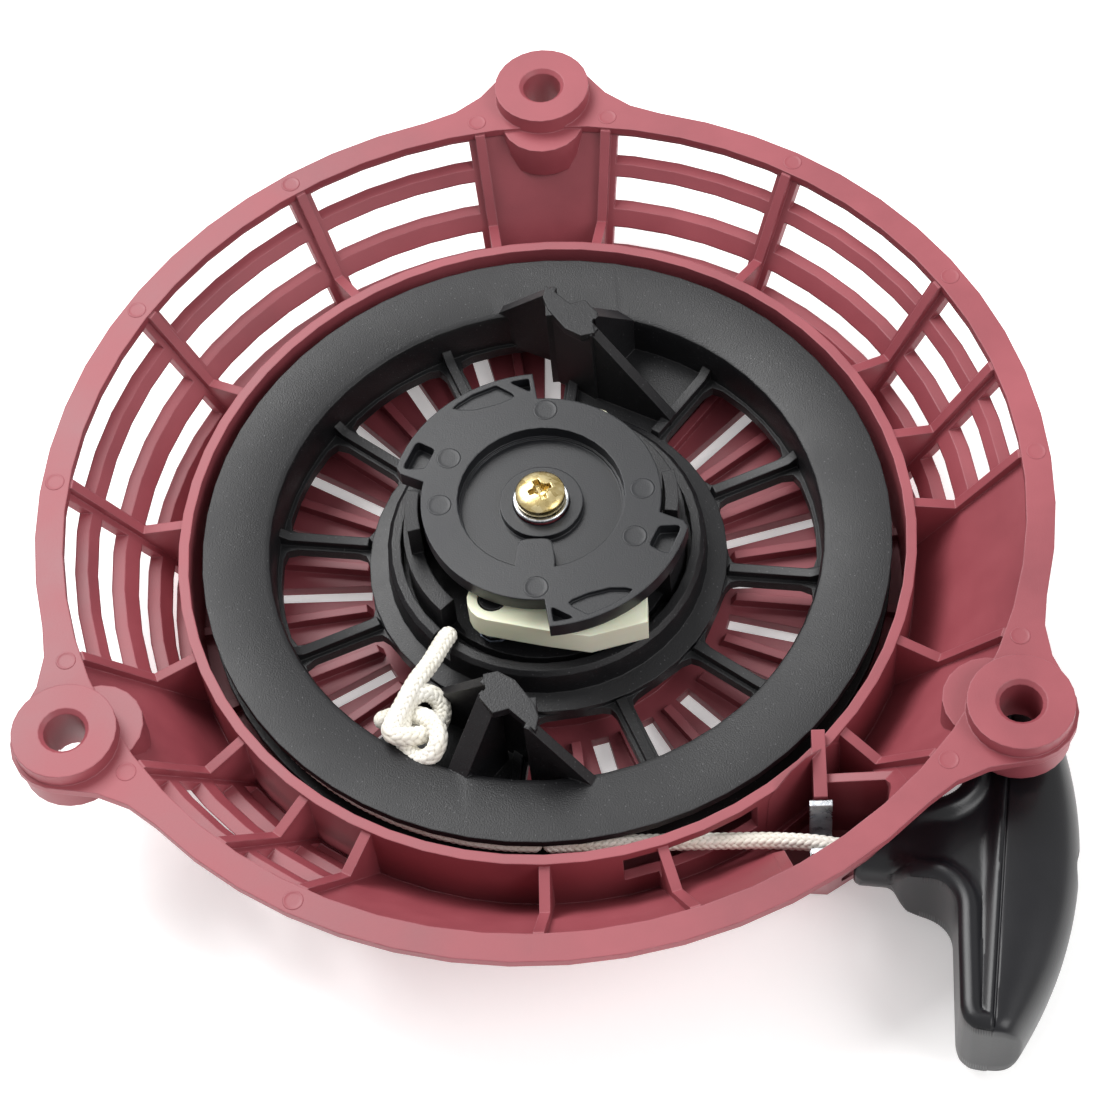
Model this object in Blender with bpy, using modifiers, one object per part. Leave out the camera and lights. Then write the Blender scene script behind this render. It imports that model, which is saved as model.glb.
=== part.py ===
"""Recoil starter for a small engine: case, reel, spring, ratchets, ratchet guide, rope and grip.

The origin is on the reel's axis in the plane of the case's front face. +Z points to the engine,
and one of the three mounting ears lies on +Y. Every size below is in millimetres.
"""

import math

import bmesh
import bpy
from mathutils import Matrix, Vector

MM = 0.001
GAP = 0.3

# Case
CASE_DEPTH = 39.0
FLANGE_REACH = 25.3
FLANGE_WIDTH = 5.4
BOLT_REACH = 3.0
EAR_ANGLES = (90.0, 210.0, 330.0)
BOSS_R = 9.75
EAR_R = 10.5
EAR_FILLET_R = 25.0
BOSS_LENGTH = 11.0
BOLT_HOLE_R = 3.9
FLANGE_THICK = 1.8
BOSS_PROUD = 3.2
FACE_INSET = 2.1
CASE_WALL = 2.5
WALL_RING_CLEARANCE = 2.7
WALL_RING_THICK = 2.0
WALL_RING_TOP = 22.7
RIB_THICK = 2.0
RIB_ANGLES = (3.8, 17.0, 31.0, 57.0, 81.8, 98.2, 123.0, 149.0, 175.8, 200.6, 217.4, 231.5, 242.8,
              270.0, 287.5, 320.6, 338.6)
LOUVRE_SECTORS = ((3.8, 17.0), (17.0, 31.0), (31.0, 57.0), (57.0, 81.8), (98.2, 123.0), (123.0, 149.0),
                  (149.0, 175.8), (175.8, 200.6), (217.4, 231.5), (231.5, 242.8))
LOUVRE_HEIGHTS = ((28.6, 33.4), (20.9, 26.4), (13.3, 17.8), (7.0, 10.5))
LOUVRE_END_MARGIN = 2.4
FACE_SLOTS = 24
FACE_SLOT_WIDTH = 3.4
FACE_SLOT_INNER_R = 36.0
FACE_SLOT_OUTER_R = 62.0
FACE_RIB_HEIGHT = 2.3
FACE_RIB_THICK = 1.8
POST_R = 8.0
SPIGOT_R = 5.0
SPRING_CUP_R = 30.0
SPRING_CUP_HEIGHT = 7.2
OUTLET_WALL_LENGTH = 12.8

# Reel
REEL_R = 67.0
REEL_TOP = 22.4
REEL_FLANGE_THICK = 1.8
ROPE_GROOVE_HEIGHT = 6.5
ROPE_GROOVE_DEPTH = 10.4
REEL_WALL_THICK = 3.0
REEL_FLOOR = 10.6
REEL_WEB_THICK = 2.4
WINDOW_INNER_R = 35.8
WINDOW_MARGIN = 0.8
WINDOW_FIRST_ANGLE = 8.0
WINDOWS = 12
BLOCKED_WINDOWS = (2, 8)
SPOKE_WIDTH = 3.6
HUB_R = 10.6
RUNNING_CLEARANCE = 0.4
COLLAR_R = 31.0
COLLAR_TOP = 21.0
POCKET_FLOOR = 18.0
DRUM_R = 27.3
DRUM_TOP = 26.0
GUIDE_POST_TOP = 34.0
FIN_TOP = 35.0

# Ratchets, ratchet guide and screw
RATCHET_PIVOT = (-9.5, -19.2)
RATCHET_PIN_R = 2.5
RATCHET_BORE_CLEARANCE = 0.35
RATCHET_LOW = 24.0
RATCHET_THICK = 6.0
GUIDE_R = 23.0
GUIDE_LOBE_R = 29.0
GUIDE_TOP = 35.2
GUIDE_RIM_THICK = 3.5
GUIDE_RECESS_R = 16.0
GUIDE_FLOOR_THICK = 1.6
GUIDE_BOSS_R = 8.0
GUIDE_BOSS_TOP = 33.6
WASHER_R = 5.7
WASHER_THICK = 0.8
SCREW_R = 2.45
SCREW_HEAD_R = 4.75
SCREW_HEAD_HEIGHT = 3.0

# Rope and grip
ROPE_R = 1.5
ROPE_TURN_INSET = 2.0
ROPE_EXIT_ANGLE = 269.5
ROPE_HOLE_ANGLE = 240.0
TAIL_ANGLE = 229.5
OUTLET_ANGLE = -51.0
ROPE_GUIDE_OFFSET = (-0.17, -1.6)
ROPE_GUIDE_WIDTH = 4.2
ROPE_GUIDE_HALF_SPAN = 4.6
ROPE_GUIDE_LOW = 9.0
ROPE_GUIDE_TOPS = (18.4, 21.8)
ROPE_GUIDE_THICK = 1.2
GRIP_OFFSET = (5.83, -4.3)
GRIP_HEIGHT = 15.0
GRIP_TURN = -9.0
GRIP_THICK = 20.0
GRIP_HALF_WIDTH = 37.5
GRIP_DEPTH = 40.5
GRIP_BAR_INNER = 19.0
GRIP_PALM_R = 78.0
GRIP_NOSE_LENGTH = 9.6
GRIP_NOSE_R = 6.0
GRIP_STEM_HALF = 8.0
OUTLET_R = 6.6
GRIP_FILLET_R = 6.0
GRIP_BEVEL = 3.4
KNOT_POCKET_R = 6.2
KNOT_POCKET_DEPTH = 15.0
KNOT_R = 5.0
REEL_KNOT_INSET = 6.66
REEL_KNOT_ANGLE = 239.4

# Worked out from the sizes above
FLANGE_TOP = CASE_DEPTH - BOSS_PROUD
FLANGE_LOW = FLANGE_TOP - FLANGE_THICK
WALL_RING_R = REEL_R + WALL_RING_CLEARANCE + WALL_RING_THICK
FLANGE_OUTER_R = WALL_RING_R + FLANGE_REACH
FLANGE_INNER_R = FLANGE_OUTER_R - FLANGE_WIDTH
BOLT_CIRCLE_R = FLANGE_OUTER_R + BOLT_REACH
FACE_R = WALL_RING_R - FACE_INSET
CONE_TOP_R = FLANGE_OUTER_R - 2.3
GROOVE_FLOOR_R = REEL_R - ROPE_GROOVE_DEPTH
REEL_WALL_R = GROOVE_FLOOR_R - REEL_WALL_THICK
WINDOW_OUTER_R = REEL_WALL_R - WINDOW_MARGIN
ROPE_OUTER_TURN_R = REEL_R - ROPE_TURN_INSET
GROOVE_TOP = REEL_TOP - REEL_FLANGE_THICK
GROOVE_LOW = GROOVE_TOP - ROPE_GROOVE_HEIGHT
ROPE_HEIGHT = GROOVE_TOP - ROPE_R - 1.6
RATCHET_TOP = RATCHET_LOW + RATCHET_THICK
GUIDE_FLOOR = RATCHET_TOP + 0.5
SPIGOT_TOP = GUIDE_BOSS_TOP + 0.1
WASHER_LOW = SPIGOT_TOP + GAP
SCREW_HEAD_LOW = WASHER_LOW + WASHER_THICK + GAP



# ---------------------------------------------------------------- places

def polar(radius, degrees):
    turn = math.radians(degrees)
    return (radius * math.cos(turn), radius * math.sin(turn))


def cone_r(height, inside=False):
    """Radius of the case's conical side at a height, on its outer or its inner surface."""
    share = height / FLANGE_LOW
    return FACE_R + (CONE_TOP_R - FACE_R) * share - (CASE_WALL if inside else 0.0)


def cone_z(radius):
    """Height at which the cone's inner surface has a radius."""
    return FLANGE_LOW * (radius + CASE_WALL - FACE_R) / (CONE_TOP_R - FACE_R)


def outlet_spot(height, offset):
    """A point beside the rope outlet: an offset from where its direction meets the cone at a height."""
    x, y = polar(cone_r(height), OUTLET_ANGLE)
    return (x + offset[0], y + offset[1])


ROPE_GUIDE_AT = outlet_spot(GRIP_HEIGHT, ROPE_GUIDE_OFFSET)
GRIP_AT = (*outlet_spot(GRIP_HEIGHT, GRIP_OFFSET), GRIP_HEIGHT)
REEL_KNOT_AT = (*polar(REEL_WALL_R - REEL_KNOT_INSET, REEL_KNOT_ANGLE), REEL_TOP - 2.6)


# ---------------------------------------------------------------- tools

def clear_scene():
    for thing in list(bpy.data.objects):
        bpy.data.objects.remove(thing, do_unlink=True)


def collection_named(name):
    made = bpy.data.collections.new(name)
    bpy.context.scene.collection.children.link(made)
    return made


def material(name, rgb, roughness, metallic=0.0):
    made = bpy.data.materials.new(name)
    made.use_nodes = True
    shader = made.node_tree.nodes["Principled BSDF"]
    shader.inputs["Base Color"].default_value = (*rgb, 1.0)
    shader.inputs["Roughness"].default_value = roughness
    shader.inputs["Metallic"].default_value = metallic
    made.diffuse_color = (*rgb, 1.0)
    return made


def evaluated_mesh(thing, turn_faces_out=True):
    """The object's mesh with its modifiers applied and its doubled points welded."""
    bpy.context.view_layer.update()
    graph = bpy.context.evaluated_depsgraph_get()
    mesh = bpy.data.meshes.new_from_object(thing.evaluated_get(graph))
    shape = bmesh.new()
    shape.from_mesh(mesh)
    bmesh.ops.remove_doubles(shape, verts=shape.verts, dist=1e-6)
    if turn_faces_out:
        bmesh.ops.recalc_face_normals(shape, faces=shape.faces)
    shape.to_mesh(mesh)
    shape.free()
    return mesh


def replaced_by_mesh(thing, turn_faces_out=True):
    """A plain mesh object that stands where the given curve or modified object stood."""
    made = bpy.data.objects.new("piece", evaluated_mesh(thing, turn_faces_out))
    made.matrix_world = thing.matrix_world.copy()
    HELPERS.objects.link(made)
    bpy.data.objects.remove(thing, do_unlink=True)
    return made


def helper_from_bmesh(shape):
    mesh = bpy.data.meshes.new("piece")
    bmesh.ops.recalc_face_normals(shape, faces=shape.faces)
    shape.to_mesh(mesh)
    shape.free()
    made = bpy.data.objects.new("piece", mesh)
    HELPERS.objects.link(made)
    return made


def turned_about_z(point, degrees):
    turn = math.radians(degrees)
    return (point[0] * math.cos(turn) - point[1] * math.sin(turn),
            point[0] * math.sin(turn) + point[1] * math.cos(turn))


def arc(radius, first, last, step=6.0, centre=(0.0, 0.0)):
    """Points along an arc, both ends included."""
    count = max(1, round(abs(last - first) / step))
    spots = [polar(radius, first + (last - first) * i / count) for i in range(count + 1)]
    return [(x + centre[0], y + centre[1]) for x, y in spots]


def sector(inner, outer, first, last, step=6.0):
    return arc(outer, first, last, step) + arc(inner, last, first, step)


def rounded(corners, radius, steps=3):
    """The outline with each corner replaced by an arc that stays inside its sides."""
    made = []
    for i, corner in enumerate(corners):
        here = Vector(corner)
        back = Vector(corners[i - 1]) - here
        ahead = Vector(corners[(i + 1) % len(corners)]) - here
        half = back.angle(ahead) / 2
        reach = min(radius / math.tan(half), back.length * 0.45, ahead.length * 0.45)
        first = here + back.normalized() * reach
        last = here + ahead.normalized() * reach
        for k in range(steps + 1):
            share = k / steps
            made.append(tuple(first * (1 - share) ** 2 + here * 2 * share * (1 - share) + last * share ** 2))
    return made


def plate(outlines, low, high):
    """A flat piece between two heights. The first outline is its edge and the others are holes."""
    curve = bpy.data.curves.new("outline", "CURVE")
    curve.dimensions = "2D"
    curve.fill_mode = "BOTH"
    curve.extrude = (high - low) / 2 * MM
    for outline in outlines:
        spline = curve.splines.new("POLY")
        spline.points.add(len(outline) - 1)
        for spot, (x, y) in zip(spline.points, outline):
            spot.co = (x * MM, y * MM, 0.0, 1.0)
        spline.use_cyclic_u = True
    thing = bpy.data.objects.new("outline", curve)
    thing.location.z = (high + low) / 2 * MM
    HELPERS.objects.link(thing)
    return baked(replaced_by_mesh(thing))


def loft(low_outline, high_outline, low, high):
    """A solid between two outlines with the same number of points, each at its own height."""
    shape = bmesh.new()
    rings = [[shape.verts.new((x * MM, y * MM, z * MM)) for x, y in outline]
             for outline, z in ((low_outline, low), (high_outline, high))]
    for ring in rings:
        bmesh.ops.triangulate(shape, faces=[shape.faces.new(ring)])
    for i, corner in enumerate(rings[0]):
        shape.faces.new((rings[0][i - 1], corner, rings[1][i]))
        shape.faces.new((rings[0][i - 1], rings[1][i], rings[1][i - 1]))
    return helper_from_bmesh(shape)


def web(outline, thick, degrees, at=(0.0, 0.0)):
    """A flat upright piece: its outline is in distance from `at` along the direction, and height."""
    made = plate([outline], -thick / 2, thick / 2)
    place = (Matrix.Translation((at[0] * MM, at[1] * MM, 0.0)) @ Matrix.Rotation(math.radians(degrees), 4, "Z")
             @ Matrix.Rotation(math.radians(90.0), 4, "X"))
    made.data.transform(place)
    return made


def turned(profile, steps=96):
    """A closed profile of (radius, height) points, swept round the Z axis."""
    mesh = bpy.data.meshes.new("profile")
    count = len(profile)
    on_axis = profile[0][0] == 0.0 and profile[-1][0] == 0.0
    edges = [(i, i + 1) for i in range(count - 1)] + ([] if on_axis else [(count - 1, 0)])
    mesh.from_pydata([(r * MM, 0.0, z * MM) for r, z in profile], edges, [])
    thing = bpy.data.objects.new("profile", mesh)
    HELPERS.objects.link(thing)
    screw = thing.modifiers.new("Screw", "SCREW")
    screw.steps = screw.render_steps = steps
    screw.use_merge_vertices = True
    screw.merge_threshold = 1e-6
    return replaced_by_mesh(thing)


def rod(start, end, start_r, end_r=None, sides=32):
    """A round bar or cone between two points."""
    start, end = Vector(start) * MM, Vector(end) * MM
    along = end - start
    shape = bmesh.new()
    place = Matrix.Translation((start + end) / 2) @ along.to_track_quat("Z", "Y").to_matrix().to_4x4()
    bmesh.ops.create_cone(shape, cap_ends=True, segments=sides, radius1=start_r * MM,
                          radius2=(start_r if end_r is None else end_r) * MM, depth=along.length, matrix=place)
    return helper_from_bmesh(shape)


def baked(thing):
    """The object with its place moved into its mesh."""
    bpy.context.view_layer.update()
    thing.data.transform(thing.matrix_world)
    thing.matrix_world = Matrix.Identity(4)
    return thing


def combined(operation, base, others):
    """One Boolean of the base with every other piece, which are then removed."""
    group = bpy.data.collections.new("operands")
    bpy.context.scene.collection.children.link(group)
    for other in others:
        HELPERS.objects.unlink(other)
        group.objects.link(other)
    boolean = base.modifiers.new("Boolean", "BOOLEAN")
    boolean.operation = operation
    boolean.solver = "EXACT"
    boolean.operand_type = "COLLECTION"
    boolean.collection = group
    made = replaced_by_mesh(base, turn_faces_out=False)
    for other in others:
        bpy.data.objects.remove(other, do_unlink=True)
    bpy.data.collections.remove(group)
    return made


def joined(pieces):
    return combined("UNION", pieces[0], pieces[1:])


def cut(base, cutters):
    return combined("DIFFERENCE", base, cutters)


def finished(name, piece, finish, smooth=35.0, origin=None):
    """Names the piece, gives it its material, and puts its origin on its joint's axis."""
    HELPERS.objects.unlink(piece)
    PARTS.objects.link(piece)
    piece.name = piece.data.name = name
    piece.data.materials.clear()
    piece.data.materials.append(finish)
    piece.data.shade_smooth()
    piece.data.set_sharp_from_angle(angle=math.radians(smooth))
    if origin is not None:
        place = Vector(origin) * MM
        piece.data.transform(Matrix.Translation(-place))
        piece.location = place
    return piece


def tube(points, radius):
    """A round cord or wire along a list of points, with closed ends."""
    curve = bpy.data.curves.new("wire", "CURVE")
    curve.dimensions = "3D"
    curve.bevel_depth = radius * MM
    curve.bevel_resolution = 2
    curve.use_fill_caps = True
    spline = curve.splines.new("POLY")
    spline.points.add(len(points) - 1)
    for spot, point in zip(spline.points, points):
        spot.co = (*(c * MM for c in point), 1.0)
    thing = bpy.data.objects.new("wire", curve)
    HELPERS.objects.link(thing)
    return replaced_by_mesh(thing)


def smooth_route(points, count):
    """Points read from one smooth Catmull-Rom curve through the given ones."""
    spots = [Vector(p) for p in points]
    spots = [2 * spots[0] - spots[1]] + spots + [2 * spots[-1] - spots[-2]]
    spans = len(spots) - 3
    made = []
    for i in range(count):
        place = i / (count - 1) * spans
        k = min(int(place), spans - 1)
        t = place - k
        a, b, c, d = spots[k:k + 4]
        made.append(tuple(0.5 * (2 * b + (c - a) * t + (2 * a - 5 * b + 4 * c - d) * t ** 2
                                 + (3 * b - a - 3 * c + d) * t ** 3)))
    return made


# ---------------------------------------------------------------- case

def flange_outline():
    """The flange's edge: a circle, with a concave fillet on each side of each ear."""
    # The fillet's centre is tangent to the flange's circle and to the ear's circle.
    far, near = FLANGE_OUTER_R + EAR_FILLET_R, EAR_R + EAR_FILLET_R
    along = (far ** 2 - near ** 2 + BOLT_CIRCLE_R ** 2) / (2 * BOLT_CIRCLE_R)
    half_turn = math.degrees(math.acos(along / far))
    side = math.sqrt(far ** 2 - along ** 2)
    lean = math.degrees(math.atan2(along - BOLT_CIRCLE_R, side))
    outline = []
    for i, angle in enumerate(EAR_ANGLES):
        start = polar(far, angle - half_turn)
        finish = polar(far, angle + half_turn)
        outline += arc(EAR_FILLET_R, angle - half_turn + 180, angle + 90 + lean, 16, start)
        outline += arc(EAR_R, angle - 90 + lean, angle + 90 - lean, 18, polar(BOLT_CIRCLE_R, angle))
        outline += arc(EAR_FILLET_R, angle - 90 - lean + 360, angle + half_turn + 180, 16, finish)
        following = EAR_ANGLES[(i + 1) % 3] + (360 if i == 2 else 0)
        outline += arc(FLANGE_OUTER_R, angle + half_turn, following - half_turn)[1:-1]
    return outline


def side_rib(angle):
    """A radial web from the flange down the inside of the cone, with a kink, to the wall ring."""
    kink_r = WALL_RING_R + 8.1
    inner = WALL_RING_R - WALL_RING_THICK / 2
    outline = [(FLANGE_INNER_R + 2.0, FLANGE_TOP - 0.5), (FLANGE_INNER_R - 0.6, FLANGE_TOP - 0.5),
               (kink_r, WALL_RING_TOP - 3.1), (inner, WALL_RING_TOP - 0.6), (inner, cone_z(inner)),
               (inner + 1.1, cone_z(inner)), (cone_r(FLANGE_LOW, True) + 1.3, FLANGE_LOW + 0.3)]
    return web(outline, RIB_THICK, angle)


def ear_column(angle):
    """The bolt boss, and the bulge that carries it down into the cone."""
    x, y = polar(BOLT_CIRCLE_R, angle)
    low = CASE_DEPTH - BOSS_LENGTH
    foot = polar(BOLT_CIRCLE_R - 6.0, angle)
    return [rod((x, y, low), (x, y, CASE_DEPTH), BOSS_R, sides=28),
            rod((*foot, low - 0.6), (*foot, FLANGE_TOP - 0.7), BOSS_R - 1.2, sides=20)]


def louvre_cutters():
    """Arc-shaped slots, one above the other, that go straight out through the cone."""
    cutters = []
    for first, last in LOUVRE_SECTORS:
        for low, high in LOUVRE_HEIGHTS:
            middle = cone_r((low + high) / 2)
            margin = math.degrees(LOUVRE_END_MARGIN / middle)
            outline = sector(WALL_RING_R + 0.8, CONE_TOP_R + 6.0, first + margin, last - margin, 12)
            cutters.append(plate([outline], low, high))
    return cutters


def tower_outlines(inset):
    """Low and high outline of the rope outlet's tower, which bulges out of the cone."""
    if inset:
        low = [(1.0, -11.3), (8.2, -12.1), (14.0, -7.5), (19.1, -2.3), (18.9, 4.3), (11.6, 5.3), (-1.6, -6.3)]
        high = [(-14.2, -7.0), (-8.8, -5.4), (-3.4, -1.4), (1.2, 2.6), (3.6, 12.1), (-3.4, 24.4), (-16.6, 12.4)]
    else:
        low = [(-1.2, -13.5), (7.8, -14.3), (15.8, -9.1), (21.6, -3.4), (21.2, 5.6), (10.2, 10.5), (-3.8, -2.9)]
        high = [(-16.2, -11.0), (-9.0, -8.4), (-2.0, -3.8), (3.4, 0.8), (6.2, 11.6), (0.4, 29.0), (-17.6, 13.6)]
    return [outlet_spot(0.0, p) for p in low], [outlet_spot(FLANGE_LOW, p) for p in high]


def outlet_pieces():
    """The posts that carry the rope guide, and a partition beside them."""
    x, y = ROPE_GUIDE_AT
    back = y + ROPE_GUIDE_HALF_SPAN + GAP
    front = y - ROPE_GUIDE_HALF_SPAN - GAP
    top = WALL_RING_TOP
    reach = OUTLET_WALL_LENGTH
    wall = [(0.0, 1.7), (reach, 1.7), (reach, top - 0.2), (0.0, top + 2.0)]
    arm = [(0.0, 10.5), (1.8, 10.5), (4.6, top - 5.1), (0.9, top - 3.2), (0.0, top - 4.4)]
    partition = [(0.0, 1.9), (13.6, 1.9), (13.6, top + 1.0), (0.0, top - 1.4)]
    return [web(wall, 2.5, -90.0, (x, back + reach)),
            web(arm, 2.6, -90.0, (x, front)),
            web(partition, 1.8, -4.0, (x, y + 9.3))]


def outlet_cutters():
    """The hole for the grip's nose, and the window in the wall ring where the rope leaves the reel."""
    turn = math.radians(GRIP_TURN)
    ahead = Vector((math.cos(turn), math.sin(turn), 0.0))
    nose = Vector(GRIP_AT)
    window = sector(WALL_RING_R - 4.0, WALL_RING_R + 1.6, 281.5, 303.0)
    channel = [outlet_spot(GRIP_HEIGHT, p) for p in ((-10.8, 1.2), (-10.8, -4.5), (-3.8, -6.8), (-3.8, 2.2))]
    return [rod(nose - ahead * 2.0, nose + ahead * 16.0, OUTLET_R, sides=24),
            plate([window], GROOVE_LOW - 1.4, GROOVE_TOP),
            plate([channel], ROPE_HEIGHT - 2.3, FLANGE_TOP + 1.0)]


def case():
    inner_top = cone_r(FLANGE_LOW, True)
    ring_inner = WALL_RING_R - WALL_RING_THICK
    shell = turned([(0.0, 0.0), (WALL_RING_R - 0.5, 0.0), (WALL_RING_R + 0.9, 1.2), (cone_r(4.8), 4.8),
                    (CONE_TOP_R, FLANGE_LOW), (CONE_TOP_R, FLANGE_LOW + 0.6), (inner_top - 0.3, FLANGE_LOW + 0.6),
                    (inner_top, FLANGE_LOW), (WALL_RING_R, cone_z(WALL_RING_R)), (WALL_RING_R, WALL_RING_TOP),
                    (ring_inner, WALL_RING_TOP), (ring_inner, CASE_WALL), (0.0, CASE_WALL)], 60)
    inside = turned([(WALL_RING_R + 0.1, cone_z(WALL_RING_R + 0.1) + 0.1), (inner_top - 0.1, FLANGE_LOW),
                     (inner_top - 0.1, FLANGE_LOW + 2.0), (WALL_RING_R + 0.1, FLANGE_LOW + 2.0)], 60)
    body = cut(joined([shell, loft(*tower_outlines(False), 0.4, FLANGE_LOW + 0.8)]),
               [inside, loft(*tower_outlines(True), CASE_WALL + 0.1, FLANGE_LOW - 1.2)])
    pieces = [body]
    pieces.append(plate([flange_outline(), arc(FLANGE_INNER_R, 0, 354)], FLANGE_LOW, FLANGE_TOP))
    for angle in EAR_ANGLES:
        pieces += ear_column(angle)
    pieces += [side_rib(angle) for angle in RIB_ANGLES]
    pieces.append(turned([(SPRING_CUP_R + 2.0, CASE_WALL + SPRING_CUP_HEIGHT), (SPRING_CUP_R + 2.0, 1.2),
                          (SPRING_CUP_R, 1.2), (SPRING_CUP_R, CASE_WALL + SPRING_CUP_HEIGHT)], 36))
    post_top = GUIDE_FLOOR - GAP
    pieces.append(turned([(0.0, SPIGOT_TOP), (SPIGOT_R, SPIGOT_TOP), (SPIGOT_R, post_top),
                          (POST_R, post_top), (POST_R, 1.4), (0.0, 1.4)], 28))
    pitch = 360.0 / FACE_SLOTS
    for i in range(FACE_SLOTS):
        rib = [(FACE_SLOT_INNER_R - 1.0, 0.6), (WALL_RING_R - 1.2, 0.6),
               (WALL_RING_R - 1.2, CASE_WALL + FACE_RIB_HEIGHT),
               (FACE_SLOT_INNER_R + 1.0, CASE_WALL + FACE_RIB_HEIGHT)]
        pieces.append(web(rib, FACE_RIB_THICK, pitch * (i + 0.5)))
    body = joined(pieces + outlet_pieces())

    cutters = louvre_cutters()
    for i in range(FACE_SLOTS):
        half = FACE_SLOT_WIDTH / 2
        slot = [(FACE_SLOT_INNER_R, -half), (FACE_SLOT_OUTER_R, -half),
                (FACE_SLOT_OUTER_R, half), (FACE_SLOT_INNER_R, half)]
        cutters.append(plate([[turned_about_z(p, pitch * i) for p in slot]], -1.0, CASE_WALL + 1.0))
    for angle in EAR_ANGLES:
        x, y = polar(BOLT_CIRCLE_R, angle)
        cutters.append(rod((x, y, 0.0), (x, y, CASE_DEPTH + 1.0), BOLT_HOLE_R, sides=20))
        cutters.append(rod((x, y, CASE_DEPTH - 0.8), (x, y, CASE_DEPTH + 0.2), BOLT_HOLE_R,
                           BOLT_HOLE_R + 1.0, sides=20))
    cutters.append(rod((0, 0, SCREW_HEAD_LOW - 18.0), (0, 0, SPIGOT_TOP + 1.0), SCREW_R + GAP, sides=16))
    cutters += outlet_cutters()
    return finished("starter_case", cut(body, cutters), RED_PLASTIC)


def rope_guide():
    """A steel strip bent to a U: the rope runs between its legs."""
    half, t = ROPE_GUIDE_HALF_SPAN, ROPE_GUIDE_THICK
    low, (front_top, back_top) = ROPE_GUIDE_LOW, ROPE_GUIDE_TOPS
    outside = rounded([(half, back_top + 9.0), (half, low), (-half, low), (-half, front_top + 9.0)], 2.6)
    inner = half - t
    inside = rounded([(inner, back_top + 9.0), (inner, low + t), (-inner, low + t), (-inner, front_top + 9.0)], 1.4)
    bend_out = [p for p in outside if p[1] < back_top]
    bend_in = [p for p in inside if p[1] < back_top]
    outline = ([(half, back_top)] + bend_out + [(-half, front_top), (-inner, front_top)]
               + bend_in[::-1] + [(inner, back_top)])
    strip = web(outline, ROPE_GUIDE_WIDTH, 90.0, ROPE_GUIDE_AT)
    return finished("rope_guide", strip, STEEL)


# ---------------------------------------------------------------- reel

def fin(turn):
    """A raised tab: a flat top on an inner wall, and three legs that slope down to ring and hub."""
    def at(point):
        return turned_about_z(point, turn)

    def leg(start, end, start_z, end_z, foot, thick):
        run = Vector(end) - Vector(start)
        heading = math.degrees(math.atan2(run.y, run.x))
        outline = [(-1.0, foot), (run.length, foot), (run.length, end_z), (0.0, start_z), (-1.0, start_z)]
        return web(outline, thick, heading + turn, at(start))

    top = [(-10.5, -38.6), (-7.8, -38.0), (-4.6, -40.0), (-1.2, -44.9), (-0.2, -47.9), (-0.8, -50.8),
           (-5.7, -46.0), (-8.6, -46.8), (-11.2, -43.4), (-10.0, -41.6)]
    web_top = REEL_FLOOR + REEL_WEB_THICK
    return [plate([[at(p) for p in top]], FIN_TOP - 2.0, FIN_TOP),
            leg((-9.6, -39.6), (-1.8, -45.2), FIN_TOP - 0.4, FIN_TOP - 0.4, web_top - 1.0, 2.4),
            leg((-1.8, -44.6), (-1.6, -50.2), FIN_TOP - 0.4, FIN_TOP - 0.4, web_top - 1.0, 2.2),
            leg((-1.6, -49.6), (9.4, -54.9), FIN_TOP, REEL_TOP - 0.2, web_top - 1.0, 2.0),
            leg((-9.6, -44.0), (-16.2, -52.2), FIN_TOP, REEL_TOP - 0.2, web_top - 1.0, 4.2),
            leg((-9.8, -39.8), (-25.2, -31.8), FIN_TOP, web_top + 2.0, web_top - 1.0, 2.2)]


def window_outline(centre):
    """A reel window: an annular sector whose sides run parallel to the spokes, with round corners."""
    half_pitch = 180.0 / WINDOWS
    corners = []
    for radius, side in ((WINDOW_INNER_R, -1), (WINDOW_OUTER_R, -1), (WINDOW_OUTER_R, 1), (WINDOW_INNER_R, 1)):
        lean = math.degrees(math.asin(SPOKE_WIDTH / 2 / radius))
        corners.append((radius, centre + side * (half_pitch - lean)))
    inner_first, outer_first, outer_last, inner_last = corners
    middle_out = [polar(WINDOW_OUTER_R, centre + k * 3.5) for k in (-1, 0, 1)]
    outline = [polar(*inner_first), polar(*outer_first), *middle_out,
               polar(*outer_last), polar(*inner_last)]
    return rounded(outline, 2.6, 2)


def spoke_rib(angle):
    low = REEL_FLOOR + REEL_WEB_THICK - 1.0
    high = REEL_FLOOR + REEL_WEB_THICK + 1.8
    return web([(WINDOW_INNER_R - 1.0, low), (REEL_WALL_R + 1.0, low), (REEL_WALL_R + 1.0, high + 2.0),
                (REEL_WALL_R - 2.0, high), (WINDOW_INNER_R, high)], 1.9, angle)


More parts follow.
